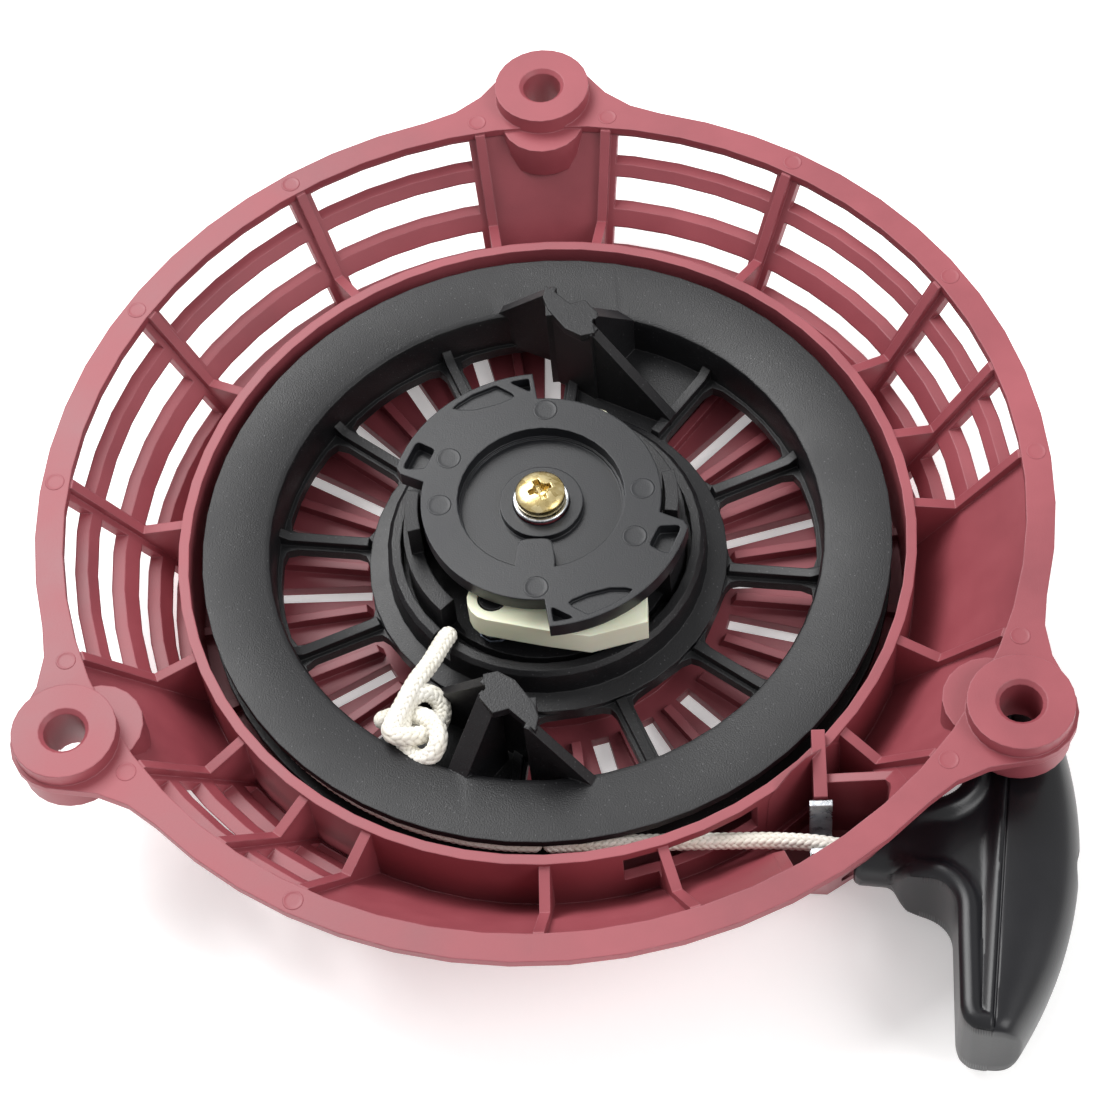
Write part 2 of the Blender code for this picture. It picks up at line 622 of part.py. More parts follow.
def reel():
    lip = 1.4
    low = REEL_FLOOR
    web_top = low + REEL_WEB_THICK
    flange_low = GROOVE_LOW - REEL_FLANGE_THICK
    pulley = turned([(REEL_R, REEL_TOP), (REEL_R, GROOVE_TOP), (GROOVE_FLOOR_R, GROOVE_TOP),
                     (GROOVE_FLOOR_R, GROOVE_LOW), (REEL_R, GROOVE_LOW), (REEL_R, flange_low),
                     (GROOVE_FLOOR_R, flange_low), (GROOVE_FLOOR_R, low - 0.5), (REEL_WALL_R, low - 0.5),
                     (REEL_WALL_R, REEL_TOP - lip), (REEL_WALL_R + lip * 0.3, REEL_TOP - lip * 0.3),
                     (REEL_WALL_R + lip, REEL_TOP)], 60)
    pitch = 360.0 / WINDOWS
    windows = [window_outline(WINDOW_FIRST_ANGLE + pitch * i)
               for i in range(WINDOWS) if i not in BLOCKED_WINDOWS]
    hub_middle = (POST_R + RUNNING_CLEARANCE + HUB_R) / 2
    pieces = [pulley, plate([arc(REEL_WALL_R + 1.0, 0, 354)] + windows
                            + [arc(hub_middle, 0, 340, 20)], low, web_top)]
    pieces += [spoke_rib(WINDOW_FIRST_ANGLE + pitch * (i + 0.5)) for i in range(WINDOWS)]
    bore = POST_R + RUNNING_CLEARANCE
    pieces.append(turned([(WINDOW_INNER_R - 0.6, web_top + 1.2), (WINDOW_INNER_R - 0.6, low + 0.2),
                          (hub_middle, low + 0.2), (hub_middle, POCKET_FLOOR), (COLLAR_R - 5.5, POCKET_FLOOR),
                          (COLLAR_R - 5.5, POCKET_FLOOR - 2.5), (COLLAR_R - 2.6, POCKET_FLOOR - 2.5),
                          (COLLAR_R - 2.6, COLLAR_TOP), (COLLAR_R - 0.9, COLLAR_TOP), (COLLAR_R, COLLAR_TOP - 0.9),
                          (COLLAR_R + 0.4, web_top + 1.8)], 40))
    pieces.append(turned([(HUB_R, GUIDE_FLOOR - GAP - 0.6), (HUB_R, CASE_WALL + 0.8), (bore, CASE_WALL + 0.8),
                          (bore, GUIDE_FLOOR - GAP - 0.6)], 28))
    for turn in (0.0, 180.0):
        pieces.append(plate([sector(DRUM_R - 3.4, DRUM_R, turn + 152.0, turn + 224.0)],
                            POCKET_FLOOR - 3.0, DRUM_TOP))
        pieces.append(plate([sector(GUIDE_R + 0.7, GUIDE_R + 3.2, turn - 7.5, turn + 13.5)],
                            POCKET_FLOOR - 3.0, GUIDE_POST_TOP))
        x, y = turned_about_z(RATCHET_PIVOT, turn)
        pieces.append(rod((x, y, POCKET_FLOOR - 1.0), (x, y, RATCHET_TOP), RATCHET_PIN_R, sides=24))
        pieces += fin(turn)
    body = joined(pieces)
    hole_x, hole_y = polar(1.0, ROPE_HOLE_ANGLE)
    inner, outer = REEL_WALL_R - 3.0, GROOVE_FLOOR_R + 2.0
    middle = (GROOVE_TOP + GROOVE_LOW) / 2
    cutters = [rod((hole_x * inner, hole_y * inner, middle), (hole_x * outer, hole_y * outer, middle),
                   ROPE_R + 0.8, sides=16)]
    notch = [(COLLAR_R - 5.0, -ROPE_R - 0.8), (COLLAR_R + 1.5, -ROPE_R - 0.8),
             (COLLAR_R + 1.5, ROPE_R + 0.8), (COLLAR_R - 5.0, ROPE_R + 0.8)]
    cutters.append(plate([[turned_about_z(p, TAIL_ANGLE) for p in notch]],
                         POCKET_FLOOR - 0.6, COLLAR_TOP + 8.0))
    return finished("reel", cut(body, cutters), BLACK_PLASTIC, origin=(0, 0, REEL_FLOOR))


# ---------------------------------------------------------------- pieces on the reel

def recoil_spring():
    """A flat steel strip wound in a spiral between the hub and the cup's wall."""
    inner, outer, thick, turns = HUB_R + 0.9, SPRING_CUP_R - 1.0, 0.5, 6.5
    steps = int(turns * 16)
    track = []
    for i in range(steps + 1):
        share = i / steps
        track.append((inner + (outer - inner) * share, 360.0 * turns * share))
    outline = ([polar(r + thick / 2, a) for r, a in track]
               + [polar(r - thick / 2, a) for r, a in reversed(track)])
    strip = plate([outline], CASE_WALL + 0.6, CASE_WALL + 0.6 + 6.2)
    return finished("recoil_spring", strip, SPRING_STEEL)


def ratchet_outline():
    px, py = RATCHET_PIVOT
    tail = arc(4.8, 75.0, 255.0, 20.0, (px, py))
    return tail + [(0.6, -26.6), (9.0, -28.2), (19.8, -25.4), (19.8, -18.8), (9.0, -20.6),
                   (0.4, -18.6), (-5.0, -14.6)]


def ratchet(number, turn):
    bore = RATCHET_PIN_R + RATCHET_BORE_CLEARANCE
    hole = arc(bore, 345, 0, 15, RATCHET_PIVOT)
    outlines = [[turned_about_z(p, turn) for p in line] for line in (ratchet_outline(), hole)]
    piece = plate(outlines, RATCHET_LOW, RATCHET_TOP)
    x, y = turned_about_z(RATCHET_PIVOT, turn)
    return finished(f"ratchet_{number}", piece, NYLON, origin=(x, y, RATCHET_LOW))


def ratchet_spring(number, turn):
    """A small torsion spring round the pivot pin, under the ratchet."""
    x, y = turned_about_z(RATCHET_PIVOT, turn)
    radius, wire, turns = RATCHET_PIN_R + 0.9, 0.3, 3
    low, high = POCKET_FLOOR + GAP + wire, RATCHET_LOW - GAP - wire
    steps = turns * 10
    coil = []
    for i in range(steps + 1):
        dx, dy = polar(radius, turn + 360.0 * turns * i / steps)
        coil.append((x + dx, y + dy, low + (high - low) * i / steps))
    return finished(f"ratchet_spring_{number}", tube(coil, wire), SPRING_STEEL)


def lobed_outline():
    """The ratchet guide's edge: a disc with two wide lobes opposite each other."""
    outline = []
    for turn in (0.0, 180.0):
        outline += arc(GUIDE_R, turn - 13.0 + 2.0, turn + 92.0, 5)
        lobe = arc(GUIDE_LOBE_R, turn + 93.5, turn + 164.0, 5)
        outline += lobe + [polar(GUIDE_LOBE_R - 1.2, turn + 166.6)]
    return outline


def ratchet_guide():
    rim_low = GUIDE_TOP - GUIDE_RIM_THICK
    pieces = [plate([lobed_outline(), arc(GUIDE_RECESS_R, 0, 350, 10)], rim_low, GUIDE_TOP),
              turned([(GUIDE_RECESS_R + 1.5, rim_low + 0.8), (GUIDE_RECESS_R + 1.5, GUIDE_FLOOR),
                      (SPIGOT_R + RUNNING_CLEARANCE, GUIDE_FLOOR), (SPIGOT_R + RUNNING_CLEARANCE, GUIDE_BOSS_TOP),
                      (GUIDE_BOSS_R, GUIDE_BOSS_TOP), (GUIDE_BOSS_R, GUIDE_FLOOR + GUIDE_FLOOR_THICK),
                      (GUIDE_RECESS_R - 0.5, GUIDE_FLOOR + GUIDE_FLOOR_THICK),
                      (GUIDE_RECESS_R - 0.5, rim_low + 0.8)], 36)]
    tab = rounded([(-5.0, -17.0), (-4.2, -9.4), (2.2, -9.4), (3.0, -17.0)], 2.0)
    pieces.append(plate([tab], GUIDE_FLOOR + 0.5, GUIDE_TOP))
    body = joined(pieces)
    cutters = []
    for turn in (0.0, 180.0):
        pocket = rounded([polar(23.6, 150.0), polar(27.8, 150.0), polar(27.8, 164.5), polar(23.6, 161.5)], 0.9)
        triangle = rounded([polar(28.0, 103.5), polar(28.0, 95.0), polar(24.6, 94.6)], 0.4, 2)
        crescent = rounded([polar(27.9, 131.0), polar(28.0, 119.0), polar(28.0, 108.5), polar(24.2, 101.0),
                            polar(23.6, 112.0), polar(24.6, 122.0)], 0.8, 2)
        for outline, depth in ((pocket, 2.6), (triangle, 2.6), (crescent, 0.9)):
            cutters.append(plate([[turned_about_z(p, turn) for p in outline]],
                                 GUIDE_TOP - depth, GUIDE_TOP + 1.0))
    return finished("ratchet_guide", cut(body, cutters), BLACK_PLASTIC, origin=(0, 0, GUIDE_FLOOR))


def friction_spring():
    """An open ring of wire that grips the guide, seated round the hub's top."""
    radius, wire = HUB_R + 1.3, 0.55
    height = GUIDE_FLOOR - GAP - wire - 0.1
    ring = [(*polar(radius, 20.0 + 320.0 * i / 20), height) for i in range(21)]
    return finished("friction_spring", tube(ring, wire), SPRING_STEEL)


def washer():
    ring = turned([(WASHER_R, WASHER_LOW + WASHER_THICK), (WASHER_R, WASHER_LOW), (SCREW_R + 0.35, WASHER_LOW),
                   (SCREW_R + 0.35, WASHER_LOW + WASHER_THICK)], 24)
    return finished("screw_washer", ring, STEEL)


def centre_screw():
    """A pan-head cross-recess screw."""
    low, high = SCREW_HEAD_LOW, SCREW_HEAD_LOW + SCREW_HEAD_HEIGHT
    r = SCREW_HEAD_R
    dome = [(0.0, high), (r * 0.35, high - 0.08), (r * 0.65, high - 0.35), (r * 0.86, high - 0.85),
            (r * 0.97, high - 1.5)]
    body = turned(dome + [(r, low + 0.9), (r, low), (SCREW_R, low), (SCREW_R, low - 17.0),
                          (SCREW_R - 0.8, low - 17.8), (0.0, low - 17.8)], 28)
    arm, half = r * 0.52, 0.5
    cross = []
    for turn in (22.0, 112.0):
        bar = [(-arm, -half), (arm, -half), (arm, half), (-arm, half)]
        cross.append(plate([[turned_about_z(p, turn) for p in bar]], high - 1.9, high + 1.0))
    return finished("centre_screw", cut(body, cross), ZINC_YELLOW)


# ---------------------------------------------------------------- rope

def rope_winding():
    """The turns wound in the groove, as one closed ring."""
    outer = ROPE_OUTER_TURN_R + ROPE_R - 0.4
    inner = GROOVE_FLOOR_R + 2 * GAP
    low, high = GROOVE_LOW + GAP, GROOVE_TOP - GAP
    ring = turned([(outer - 0.5, high), (outer, high - 0.8), (outer, low + 0.8), (outer - 0.5, low),
                   (inner, low), (inner, high)], 60)
    return finished("rope_winding", ring, ROPE)


def rope_run():
    """The stretch from the winding through the guide's eye to the grip's nose."""
    touch = polar(ROPE_OUTER_TURN_R, ROPE_EXIT_ANGLE)
    heading = polar(1.0, ROPE_EXIT_ANGLE + 90.0)
    clear = 26.0
    start = (touch[0] + heading[0] * clear, touch[1] + heading[1] * clear)
    far = 42.0
    middle = (touch[0] + heading[0] * far, touch[1] + heading[1] * far)
    eye = (ROPE_GUIDE_AT[0], ROPE_GUIDE_AT[1] - 1.4)
    turn = math.radians(GRIP_TURN)
    end = (GRIP_AT[0] - 2 * GAP * math.cos(turn), GRIP_AT[1] - 2 * GAP * math.sin(turn), GRIP_AT[2])
    points = smooth_route([(*start, ROPE_HEIGHT), (*middle, ROPE_HEIGHT - 0.1),
                           (*eye, GRIP_AT[2] + 1.4), end], 10)
    return finished("rope_run", tube(points, ROPE_R), ROPE)


def rope_knot():
    """The knot that holds the rope's inner end, behind its hole in the reel's wall."""
    shape = bmesh.new()
    bmesh.ops.create_uvsphere(shape, u_segments=16, v_segments=9, radius=1.0)
    x, y, z = REEL_KNOT_AT
    place = (Matrix.Translation((x * MM, y * MM, z * MM)) @ Matrix.Rotation(math.radians(-28.0), 4, "Z")
             @ Matrix.Diagonal((7.6 * MM, 5.2 * MM, 4.6 * MM, 1.0)))
    bmesh.ops.transform(shape, matrix=place, verts=shape.verts)
    return finished("rope_knot", helper_from_bmesh(shape), ROPE)


def rope_tail():
    """The rope's loose end, from the knot over the collar into the hub."""
    end_x, end_y = polar(COLLAR_R - 4.3, TAIL_ANGLE)
    start = Vector((REEL_KNOT_AT[0] + 0.8, REEL_KNOT_AT[1] + 6.2, REEL_KNOT_AT[2] + 2.6))
    points = smooth_route([tuple(start), (-22.4, -29.4, 22.2),
                           (end_x, end_y, POCKET_FLOOR + ROPE_R + GAP + 1.2)], 8)
    return finished("rope_tail", tube(points, ROPE_R), ROPE)


def rope_root():
    """The short stretch from the knot through the reel's wall."""
    middle = (GROOVE_TOP + GROOVE_LOW) / 2
    outer = (*polar(GROOVE_FLOOR_R - 0.3, ROPE_HOLE_ANGLE), middle)
    inner = (*polar(REEL_WALL_R - 1.0, ROPE_HOLE_ANGLE), middle + 0.2)
    return finished("rope_root", tube([inner, outer], ROPE_R), ROPE)


# ---------------------------------------------------------------- grip

def grip_outline():
    """The T-shaped grip in its own frame: the nose at the origin, the stem along +X."""
    half, inner = GRIP_HALF_WIDTH, GRIP_BAR_INNER
    centre_x = GRIP_DEPTH - GRIP_PALM_R
    end_angle = math.degrees(math.asin((half - 3.0) / GRIP_PALM_R))
    palm = arc(GRIP_PALM_R, -end_angle, end_angle, 6.0, (centre_x, 0.0))
    palm_end_x = palm[-1][0]
    r = GRIP_FILLET_R
    fillet = arc(r, 0.0, 90.0, 15.0, (inner - r, GRIP_STEM_HALF + r))
    fillet = [(x, 2 * (GRIP_STEM_HALF + r) - y) for x, y in fillet]
    upper = palm + [(palm_end_x - 1.6, half - 0.6), (palm_end_x - 4.5, half), (inner + 3.0, half - 0.4),
                    (inner + 0.8, half - 1.6), (inner, half - 4.0)]
    upper += fillet + [(0.0, GRIP_NOSE_R + 0.4)]
    lower = [(x, -y) for x, y in reversed(upper) if (x, y) not in palm]
    return upper + lower


def grip_place():
    x, y, z = (c * MM for c in GRIP_AT)
    return Matrix.Translation((x, y, z)) @ Matrix.Rotation(math.radians(GRIP_TURN), 4, "Z")


def grip():
    body = plate([grip_outline()], -GRIP_THICK / 2, GRIP_THICK / 2)
    bevel = body.modifiers.new("Bevel", "BEVEL")
    bevel.width = GRIP_BEVEL * MM
    bevel.segments = 3
    bevel.limit_method = "ANGLE"
    bevel.angle_limit = math.radians(60.0)
    body = replaced_by_mesh(body)
    reach = GRIP_NOSE_R + 14.0
    neck = turned([(reach, GRIP_NOSE_LENGTH + 2.0), (reach, -2.0), (GRIP_NOSE_R - 2.0, -2.0),
                   (GRIP_NOSE_R - 1.2, -0.01), (GRIP_NOSE_R, 1.2), (GRIP_NOSE_R, GRIP_NOSE_LENGTH)], 24)
    neck.data.transform(Matrix.Rotation(math.radians(90.0), 4, "Y"))
    body = cut(body, [neck, rod((-2, 0, 0), (GRIP_DEPTH, 0, 0), ROPE_R + 0.5, sides=20),
                      rod((GRIP_DEPTH - KNOT_POCKET_DEPTH, 0, 0), (GRIP_DEPTH + 2, 0, 0), KNOT_POCKET_R, sides=28)])
    body.data.transform(grip_place())
    return finished("grip", body, GRIP_PLASTIC, origin=GRIP_AT)


def grip_rope():
    start = grip_place() @ Vector((0.0, 0.0, 0.0))
    end = grip_place() @ Vector(((GRIP_DEPTH - KNOT_POCKET_DEPTH - 0.2) * MM, 0.0, 0.0))
    return finished("grip_rope", rod(start / MM, end / MM, ROPE_R, sides=12), ROPE)


def grip_knot():
    shape = bmesh.new()
    bmesh.ops.create_uvsphere(shape, u_segments=14, v_segments=8, radius=KNOT_R * MM)
    centre = grip_place() @ Vector(((GRIP_DEPTH - KNOT_POCKET_DEPTH + KNOT_R + GAP) * MM, 0.0, 0.0))
    bmesh.ops.translate(shape, verts=shape.verts, vec=centre)
    return finished("grip_knot", helper_from_bmesh(shape), ROPE)


# ---------------------------------------------------------------- build

clear_scene()
PARTS = collection_named("recoil_starter")
HELPERS = collection_named("helpers")
RED_PLASTIC = material("red_plastic", (0.42, 0.075, 0.085), 0.45)
BLACK_PLASTIC = material("black_plastic", (0.018, 0.018, 0.02), 0.5)
GRIP_PLASTIC = material("grip_plastic", (0.012, 0.012, 0.014), 0.4)
NYLON = material("ratchet_nylon", (0.62, 0.62, 0.48), 0.35)
STEEL = material("galvanised_steel", (0.55, 0.56, 0.57), 0.3, 1.0)
SPRING_STEEL = material("spring_steel", (0.3, 0.3, 0.31), 0.3, 1.0)
ZINC_YELLOW = material("yellow_zinc", (0.6, 0.42, 0.14), 0.3, 1.0)
ROPE = material("braided_rope", (0.75, 0.72, 0.62), 0.8)

case()
rope_guide()
recoil_spring()
reel()
for number, turn in ((1, 0.0), (2, 180.0)):
    ratchet(number, turn)
    ratchet_spring(number, turn)
ratchet_guide()
friction_spring()
washer()
centre_screw()
rope_winding()
rope_run()
rope_knot()
rope_tail()
rope_root()
grip()
grip_rope()
grip_knot()
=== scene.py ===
# %% [markdown]
# # A recoil starter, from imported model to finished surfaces
#
# A recoil starter is the pull-start of a small engine: a red louvred case, a black reel
# wound with rope, two ratchets that catch the engine's cup, and a T-shaped grip. The packed
# model already has every part at its real size. This lesson gives each part the surface the
# real one has: moulded plastic with soft edges, braided rope, plated steel.
#
# The first step loads that model as a fixed frame. Everything is in metres, the case lies
# face down on the floor at z = 0, and the reel turns about the Z axis.

# %% Load the frame
import math

import bpy
import numpy as np
from mathutils import Matrix, Vector


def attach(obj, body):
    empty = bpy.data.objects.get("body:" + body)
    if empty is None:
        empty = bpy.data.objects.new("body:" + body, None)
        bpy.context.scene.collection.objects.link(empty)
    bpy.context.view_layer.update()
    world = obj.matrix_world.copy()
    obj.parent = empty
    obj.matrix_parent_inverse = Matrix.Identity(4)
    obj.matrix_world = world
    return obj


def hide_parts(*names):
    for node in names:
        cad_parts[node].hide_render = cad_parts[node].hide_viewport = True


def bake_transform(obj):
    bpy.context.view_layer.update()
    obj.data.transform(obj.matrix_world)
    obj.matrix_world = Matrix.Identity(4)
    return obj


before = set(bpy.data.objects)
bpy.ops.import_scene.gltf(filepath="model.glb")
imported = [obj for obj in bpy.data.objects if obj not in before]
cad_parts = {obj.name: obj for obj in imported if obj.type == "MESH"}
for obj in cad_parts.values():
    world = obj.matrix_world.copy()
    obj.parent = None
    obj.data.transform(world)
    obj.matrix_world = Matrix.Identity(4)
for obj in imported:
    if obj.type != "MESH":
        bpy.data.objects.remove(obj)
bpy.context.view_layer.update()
MM = 0.001

# %% [markdown]
# ## Camera
#
# A flat part shows best from above and a little to one side, with a long
# lens, so that the round case stays nearly round. The camera is placed by its own position
# and the point it looks at, and then rolled a few degrees about its line of sight.

# %% Camera
CAMERA_AT = Vector((33.8, -313.8, 505.3)) * MM
LOOKS_AT = Vector((3.0, -15.7, 39.0)) * MM
CAMERA_ROLL = math.radians(-6.89)
LENS_MM = 96.4

scene = bpy.context.scene
camera_data = bpy.data.cameras.new("camera")
camera_data.lens = LENS_MM
camera_data.clip_end = 10.0
camera = bpy.data.objects.new("camera", camera_data)
scene.collection.objects.link(camera)
look = (LOOKS_AT - CAMERA_AT).to_track_quat("-Z", "Y")
camera.rotation_mode = "QUATERNION"
camera.location = CAMERA_AT
camera.rotation_quaternion = look @ Matrix.Rotation(CAMERA_ROLL, 4, "Z").to_quaternion()
scene.camera = camera
scene.view_settings.view_transform = "Standard"
print("camera distance: %.0f mm" % ((CAMERA_AT - LOOKS_AT).length / MM))

# %% [markdown]
# ## Helpers for materials
#
# Colours are written as the hex values a paint chart uses, and one function turns them into
# the linear numbers Blender works in. One small function adds a node with its settings and
# its links, so a material reads as a short list.


# %% Colour and node helpers
def linear(hex_colour):
    """sRGB hex to linear RGBA: each channel c becomes c/12.92 below 0.04045, and
    ((c + 0.055) / 1.055) to the power 2.4 above it."""
    channels = np.array([int(hex_colour[i : i + 2], 16) / 255.0 for i in (1, 3, 5)])
    low, high = channels / 12.92, ((channels + 0.055) / 1.055) ** 2.4
    return (*np.where(channels <= 0.04045, low, high).tolist(), 1.0)


def add(tree, kind, inputs=None, **settings):
    """Adds a shader node. inputs maps a socket's name or number to a value or a link."""
    made = tree.nodes.new("ShaderNode" + kind)
    for key, value in settings.items():
        setattr(made, key, value)
    for key, value in (inputs or {}).items():
        if isinstance(value, bpy.types.NodeSocket):
            tree.links.new(value, made.inputs[key])
        else:
            made.inputs[key].default_value = value
    return made


def ramp(tree, factor, stops):
    """A colour ramp through (position, hex colour) stops."""
    made = add(tree, "ValToRGB", {"Fac": factor})
    elements = made.color_ramp.elements
    elements[0].position, elements[0].color = stops[0][0], linear(stops[0][1])
    elements[1].position, elements[1].color = stops[-1][0], linear(stops[-1][1])
    for position, colour in stops[1:-1]:
        elements.new(position).color = linear(colour)
    return made.outputs["Color"]


def new_material(name):
    """A material with an empty tree, its output and its Principled shader."""
    material = bpy.data.materials.new(name)
    material.use_nodes = True
    tree = material.node_tree
    tree.nodes.clear()
    shader = add(tree, "BsdfPrincipled")
    add(tree, "OutputMaterial", {"Surface": shader.outputs[0]})
    return material, tree, shader


def map_range(tree, value, low, high, to_low, to_high):
    """value from low..high to to_low..to_high, held at the ends."""
    return add(tree, "MapRange", {0: value, 1: low, 2: high, 3: to_low, 4: to_high}).outputs[0]


print("red of the case, linear:", [round(c, 3) for c in linear("#B9606C")])

# %% [markdown]
# ## Moulded plastic
#
# Case, reel, guide and grip are all injection moulded. Three things tell the eye so. The
# tool leaves a fine spark-eroded grain, drawn here about 0.3 mm coarse because the real
# 0.05 mm would not show. The colour drifts slightly where the melt flowed. And no edge is
# perfectly sharp: a Bevel node rounds the shading over a third of a millimetre. Where the
# rounded normal leaves the true one, the edge is painted a little paler: partly the wear of
# handled plastic, partly a painted highlight along the rims.


# %% Plastic
def moulded_plastic(name, colours, edge, rough, grain=0.12, specks=None, edge_mm=0.35,
                    edge_amount=0.55, sheen=0.5):
    """colours are (dark, middle, light) hex; edge is the hex the edges are painted, part wear and
    part painted highlight; rough is a pair;
    sheen is the specular level, 0.5 for clean nylon and less for filled black plastics."""
    material, tree, shader = new_material(name)
    place = add(tree, "TexCoord").outputs["Object"]
    flow = add(tree, "TexNoise", {"Vector": place, "Scale": 38.0, "Detail": 4.0,
                                  "Roughness": 0.55})
    stops = list(zip((0.3, 0.5, 0.72), colours))
    colour = ramp(tree, flow.outputs[0], stops)
    if specks:
        spots = add(tree, "TexVoronoi", {"Vector": place, "Scale": 1.0 / (specks[1] * MM)})
        near = map_range(tree, spots.outputs["Distance"], 0.10, 0.22, 1.0, 0.0)
        chosen = add(tree, "SeparateColor", {0: spots.outputs["Color"]}).outputs[0]
        some = map_range(tree, chosen, 0.55, 0.95, 0.0, specks[2])
        amount = add(tree, "Math", {0: near, 1: some}, operation="MULTIPLY").outputs[0]
        colour = add(tree, "Mix", {0: amount, 6: colour, 7: linear(specks[0])},
                     data_type="RGBA").outputs[2]
    rounded = add(tree, "Bevel", {"Radius": edge_mm * MM}, samples=6).outputs[0]
    true = add(tree, "NewGeometry").outputs["True Normal"]
    along = add(tree, "VectorMath", {0: rounded, 1: true}, operation="DOT_PRODUCT")
    # Painted highlight and wear: edges are painted paler where the shading normal is rounded.
    edge_here = map_range(tree, along.outputs["Value"], 0.99, 0.72, 0.0, 1.0)
    patchy = add(tree, "TexNoise", {"Vector": place, "Scale": 260.0, "Detail": 3.0}).outputs[0]
    patches = map_range(tree, patchy, 0.35, 0.7, 0.15, 1.0)
    worn_and_highlit = add(tree, "Math", {0: edge_here, 1: patches}, operation="MULTIPLY").outputs[0]
    worn_and_highlit = add(tree, "Math", {0: worn_and_highlit, 1: edge_amount}, operation="MULTIPLY").outputs[0]
    colour = add(tree, "Mix", {0: worn_and_highlit, 6: colour, 7: linear(edge)}, data_type="RGBA").outputs[2]
    skin = add(tree, "TexNoise", {"Vector": place, "Scale": 3300.0, "Detail": 2.0})
    height = add(tree, "Bump", {"Strength": grain, "Distance": 0.0002, "Height": skin.outputs[0],
                                "Normal": rounded}).outputs[0]
    gloss = map_range(tree, flow.outputs[0], 0.3, 0.7, rough[0], rough[1])
    tree.links.new(colour, shader.inputs["Base Color"])
    tree.links.new(gloss, shader.inputs["Roughness"])
    tree.links.new(height, shader.inputs["Normal"])
    shader.inputs["IOR"].default_value = 1.5
    shader.inputs["Specular IOR Level"].default_value = sheen
    return material


# Glass-filled nylon, dyed rose red: satin, with paler edges, part scuffing and part painted
# highlight.
CASE_NYLON = moulded_plastic("moulded_red_nylon", ("#7F3941", "#8B4048", "#954850"), "#C48A92",
                             (0.42, 0.56), grain=0.10)
# Recycled-black polypropylene: matte, dusted with pale filler specks.
REEL_PLASTIC = moulded_plastic("moulded_black_polypropylene", ("#0F0F11", "#131315", "#18181A"),
                               "#4A4A4C", (0.36, 0.50), grain=0.3, specks=("#6C6C6E", 0.75, 0.4),
                               edge_amount=0.45, sheen=0.36)
# Acetal: smoother and a touch bluer than the reel.
GUIDE_PLASTIC = moulded_plastic("moulded_black_acetal", ("#141518", "#18191C", "#1C1D21"),
                                "#5A5C62", (0.32, 0.42), grain=0.12, edge_amount=0.35, sheen=0.36)
# Glossier polypropylene polished by the hand.
GRIP_PLASTIC = moulded_plastic("polished_black_polypropylene", ("#0D0D10", "#101014", "#141418"),
                               "#3A3C42", (0.28, 0.38), grain=0.08, edge_mm=0.25, edge_amount=0.2,
                               sheen=0.38)
# Natural nylon 6: cream, waxy.
RATCHET_NYLON = moulded_plastic("natural_cream_nylon", ("#DDDFC2", "#E6E8CF", "#EEEFDC"),
                                "#F5F2E6", (0.34, 0.44), grain=0.06)
RATCHET_NYLON.node_tree.nodes["Principled BSDF"].inputs["Subsurface Weight"].default_value = 0.15
RATCHET_NYLON.node_tree.nodes["Principled BSDF"].inputs["Subsurface Scale"].default_value = 0.002
print("plastics:", [m.name for m in bpy.data.materials if "moulded" in m.name])

# %% [markdown]
# ## Plated steel
#
# The rope guide and washer are galvanised, the screw is zinc plated and passivated yellow,
# and the springs are blued strip. A metal keeps Blender's own IOR. Its life comes from
# roughness that changes from grain to grain: zinc freezes in crystals a millimetre or so
# across, and yellow passivation drifts from straw to olive.


# %% Metals
def plated_steel(name, stops, grain_mm, rough):
    """stops are (position, hex) along the crystals' random value; rough is a pair."""
    material, tree, shader = new_material(name)
    place = add(tree, "TexCoord").outputs["Object"]
    crystals = add(tree, "TexVoronoi", {"Vector": place, "Scale": 1.0 / (grain_mm * MM)})
    value = add(tree, "SeparateColor", {0: crystals.outputs["Color"]}).outputs[0]
    drift = add(tree, "TexNoise", {"Vector": place, "Scale": 420.0, "Detail": 3.0}).outputs[0]
    both = add(tree, "Mix", {0: 0.6, 2: value, 3: drift}).outputs[0]
    colour = ramp(tree, both, stops)
    gloss = map_range(tree, both, 0.2, 0.8, rough[0], rough[1])
    rounded = add(tree, "Bevel", {"Radius": 0.25 * MM}, samples=6).outputs[0]
    scratches = add(tree, "TexNoise", {"Vector": place, "Scale": 2600.0, "Detail": 2.0}).outputs[0]
    normal = add(tree, "Bump", {"Strength": 0.08, "Distance": 0.0002, "Height": scratches,
                                "Normal": rounded}).outputs[0]
    tree.links.new(colour, shader.inputs["Base Color"])
    tree.links.new(gloss, shader.inputs["Roughness"])
    tree.links.new(normal, shader.inputs["Normal"])
    shader.inputs["Metallic"].default_value = 1.0
    return material


GALVANISED = plated_steel("galvanised_steel", [(0.2, "#A9ACB0"), (0.5, "#C3C6CA"),
                                               (0.8, "#DADCDF")], 1.2, (0.22, 0.38))
YELLOW_ZINC = plated_steel("yellow_passivated_zinc", [(0.25, "#A8945F"), (0.5, "#C2AE7B"),
                                                      (0.75, "#D6C79B")], 0.9, (0.22, 0.36))
BLUED_STRIP = plated_steel("blued_spring_steel", [(0.3, "#3B4048"), (0.6, "#565C66"),
                                                  (0.8, "#6E7480")], 0.7, (0.26, 0.4))
print("metals:", GALVANISED.name, YELLOW_ZINC.name, BLUED_STRIP.name)
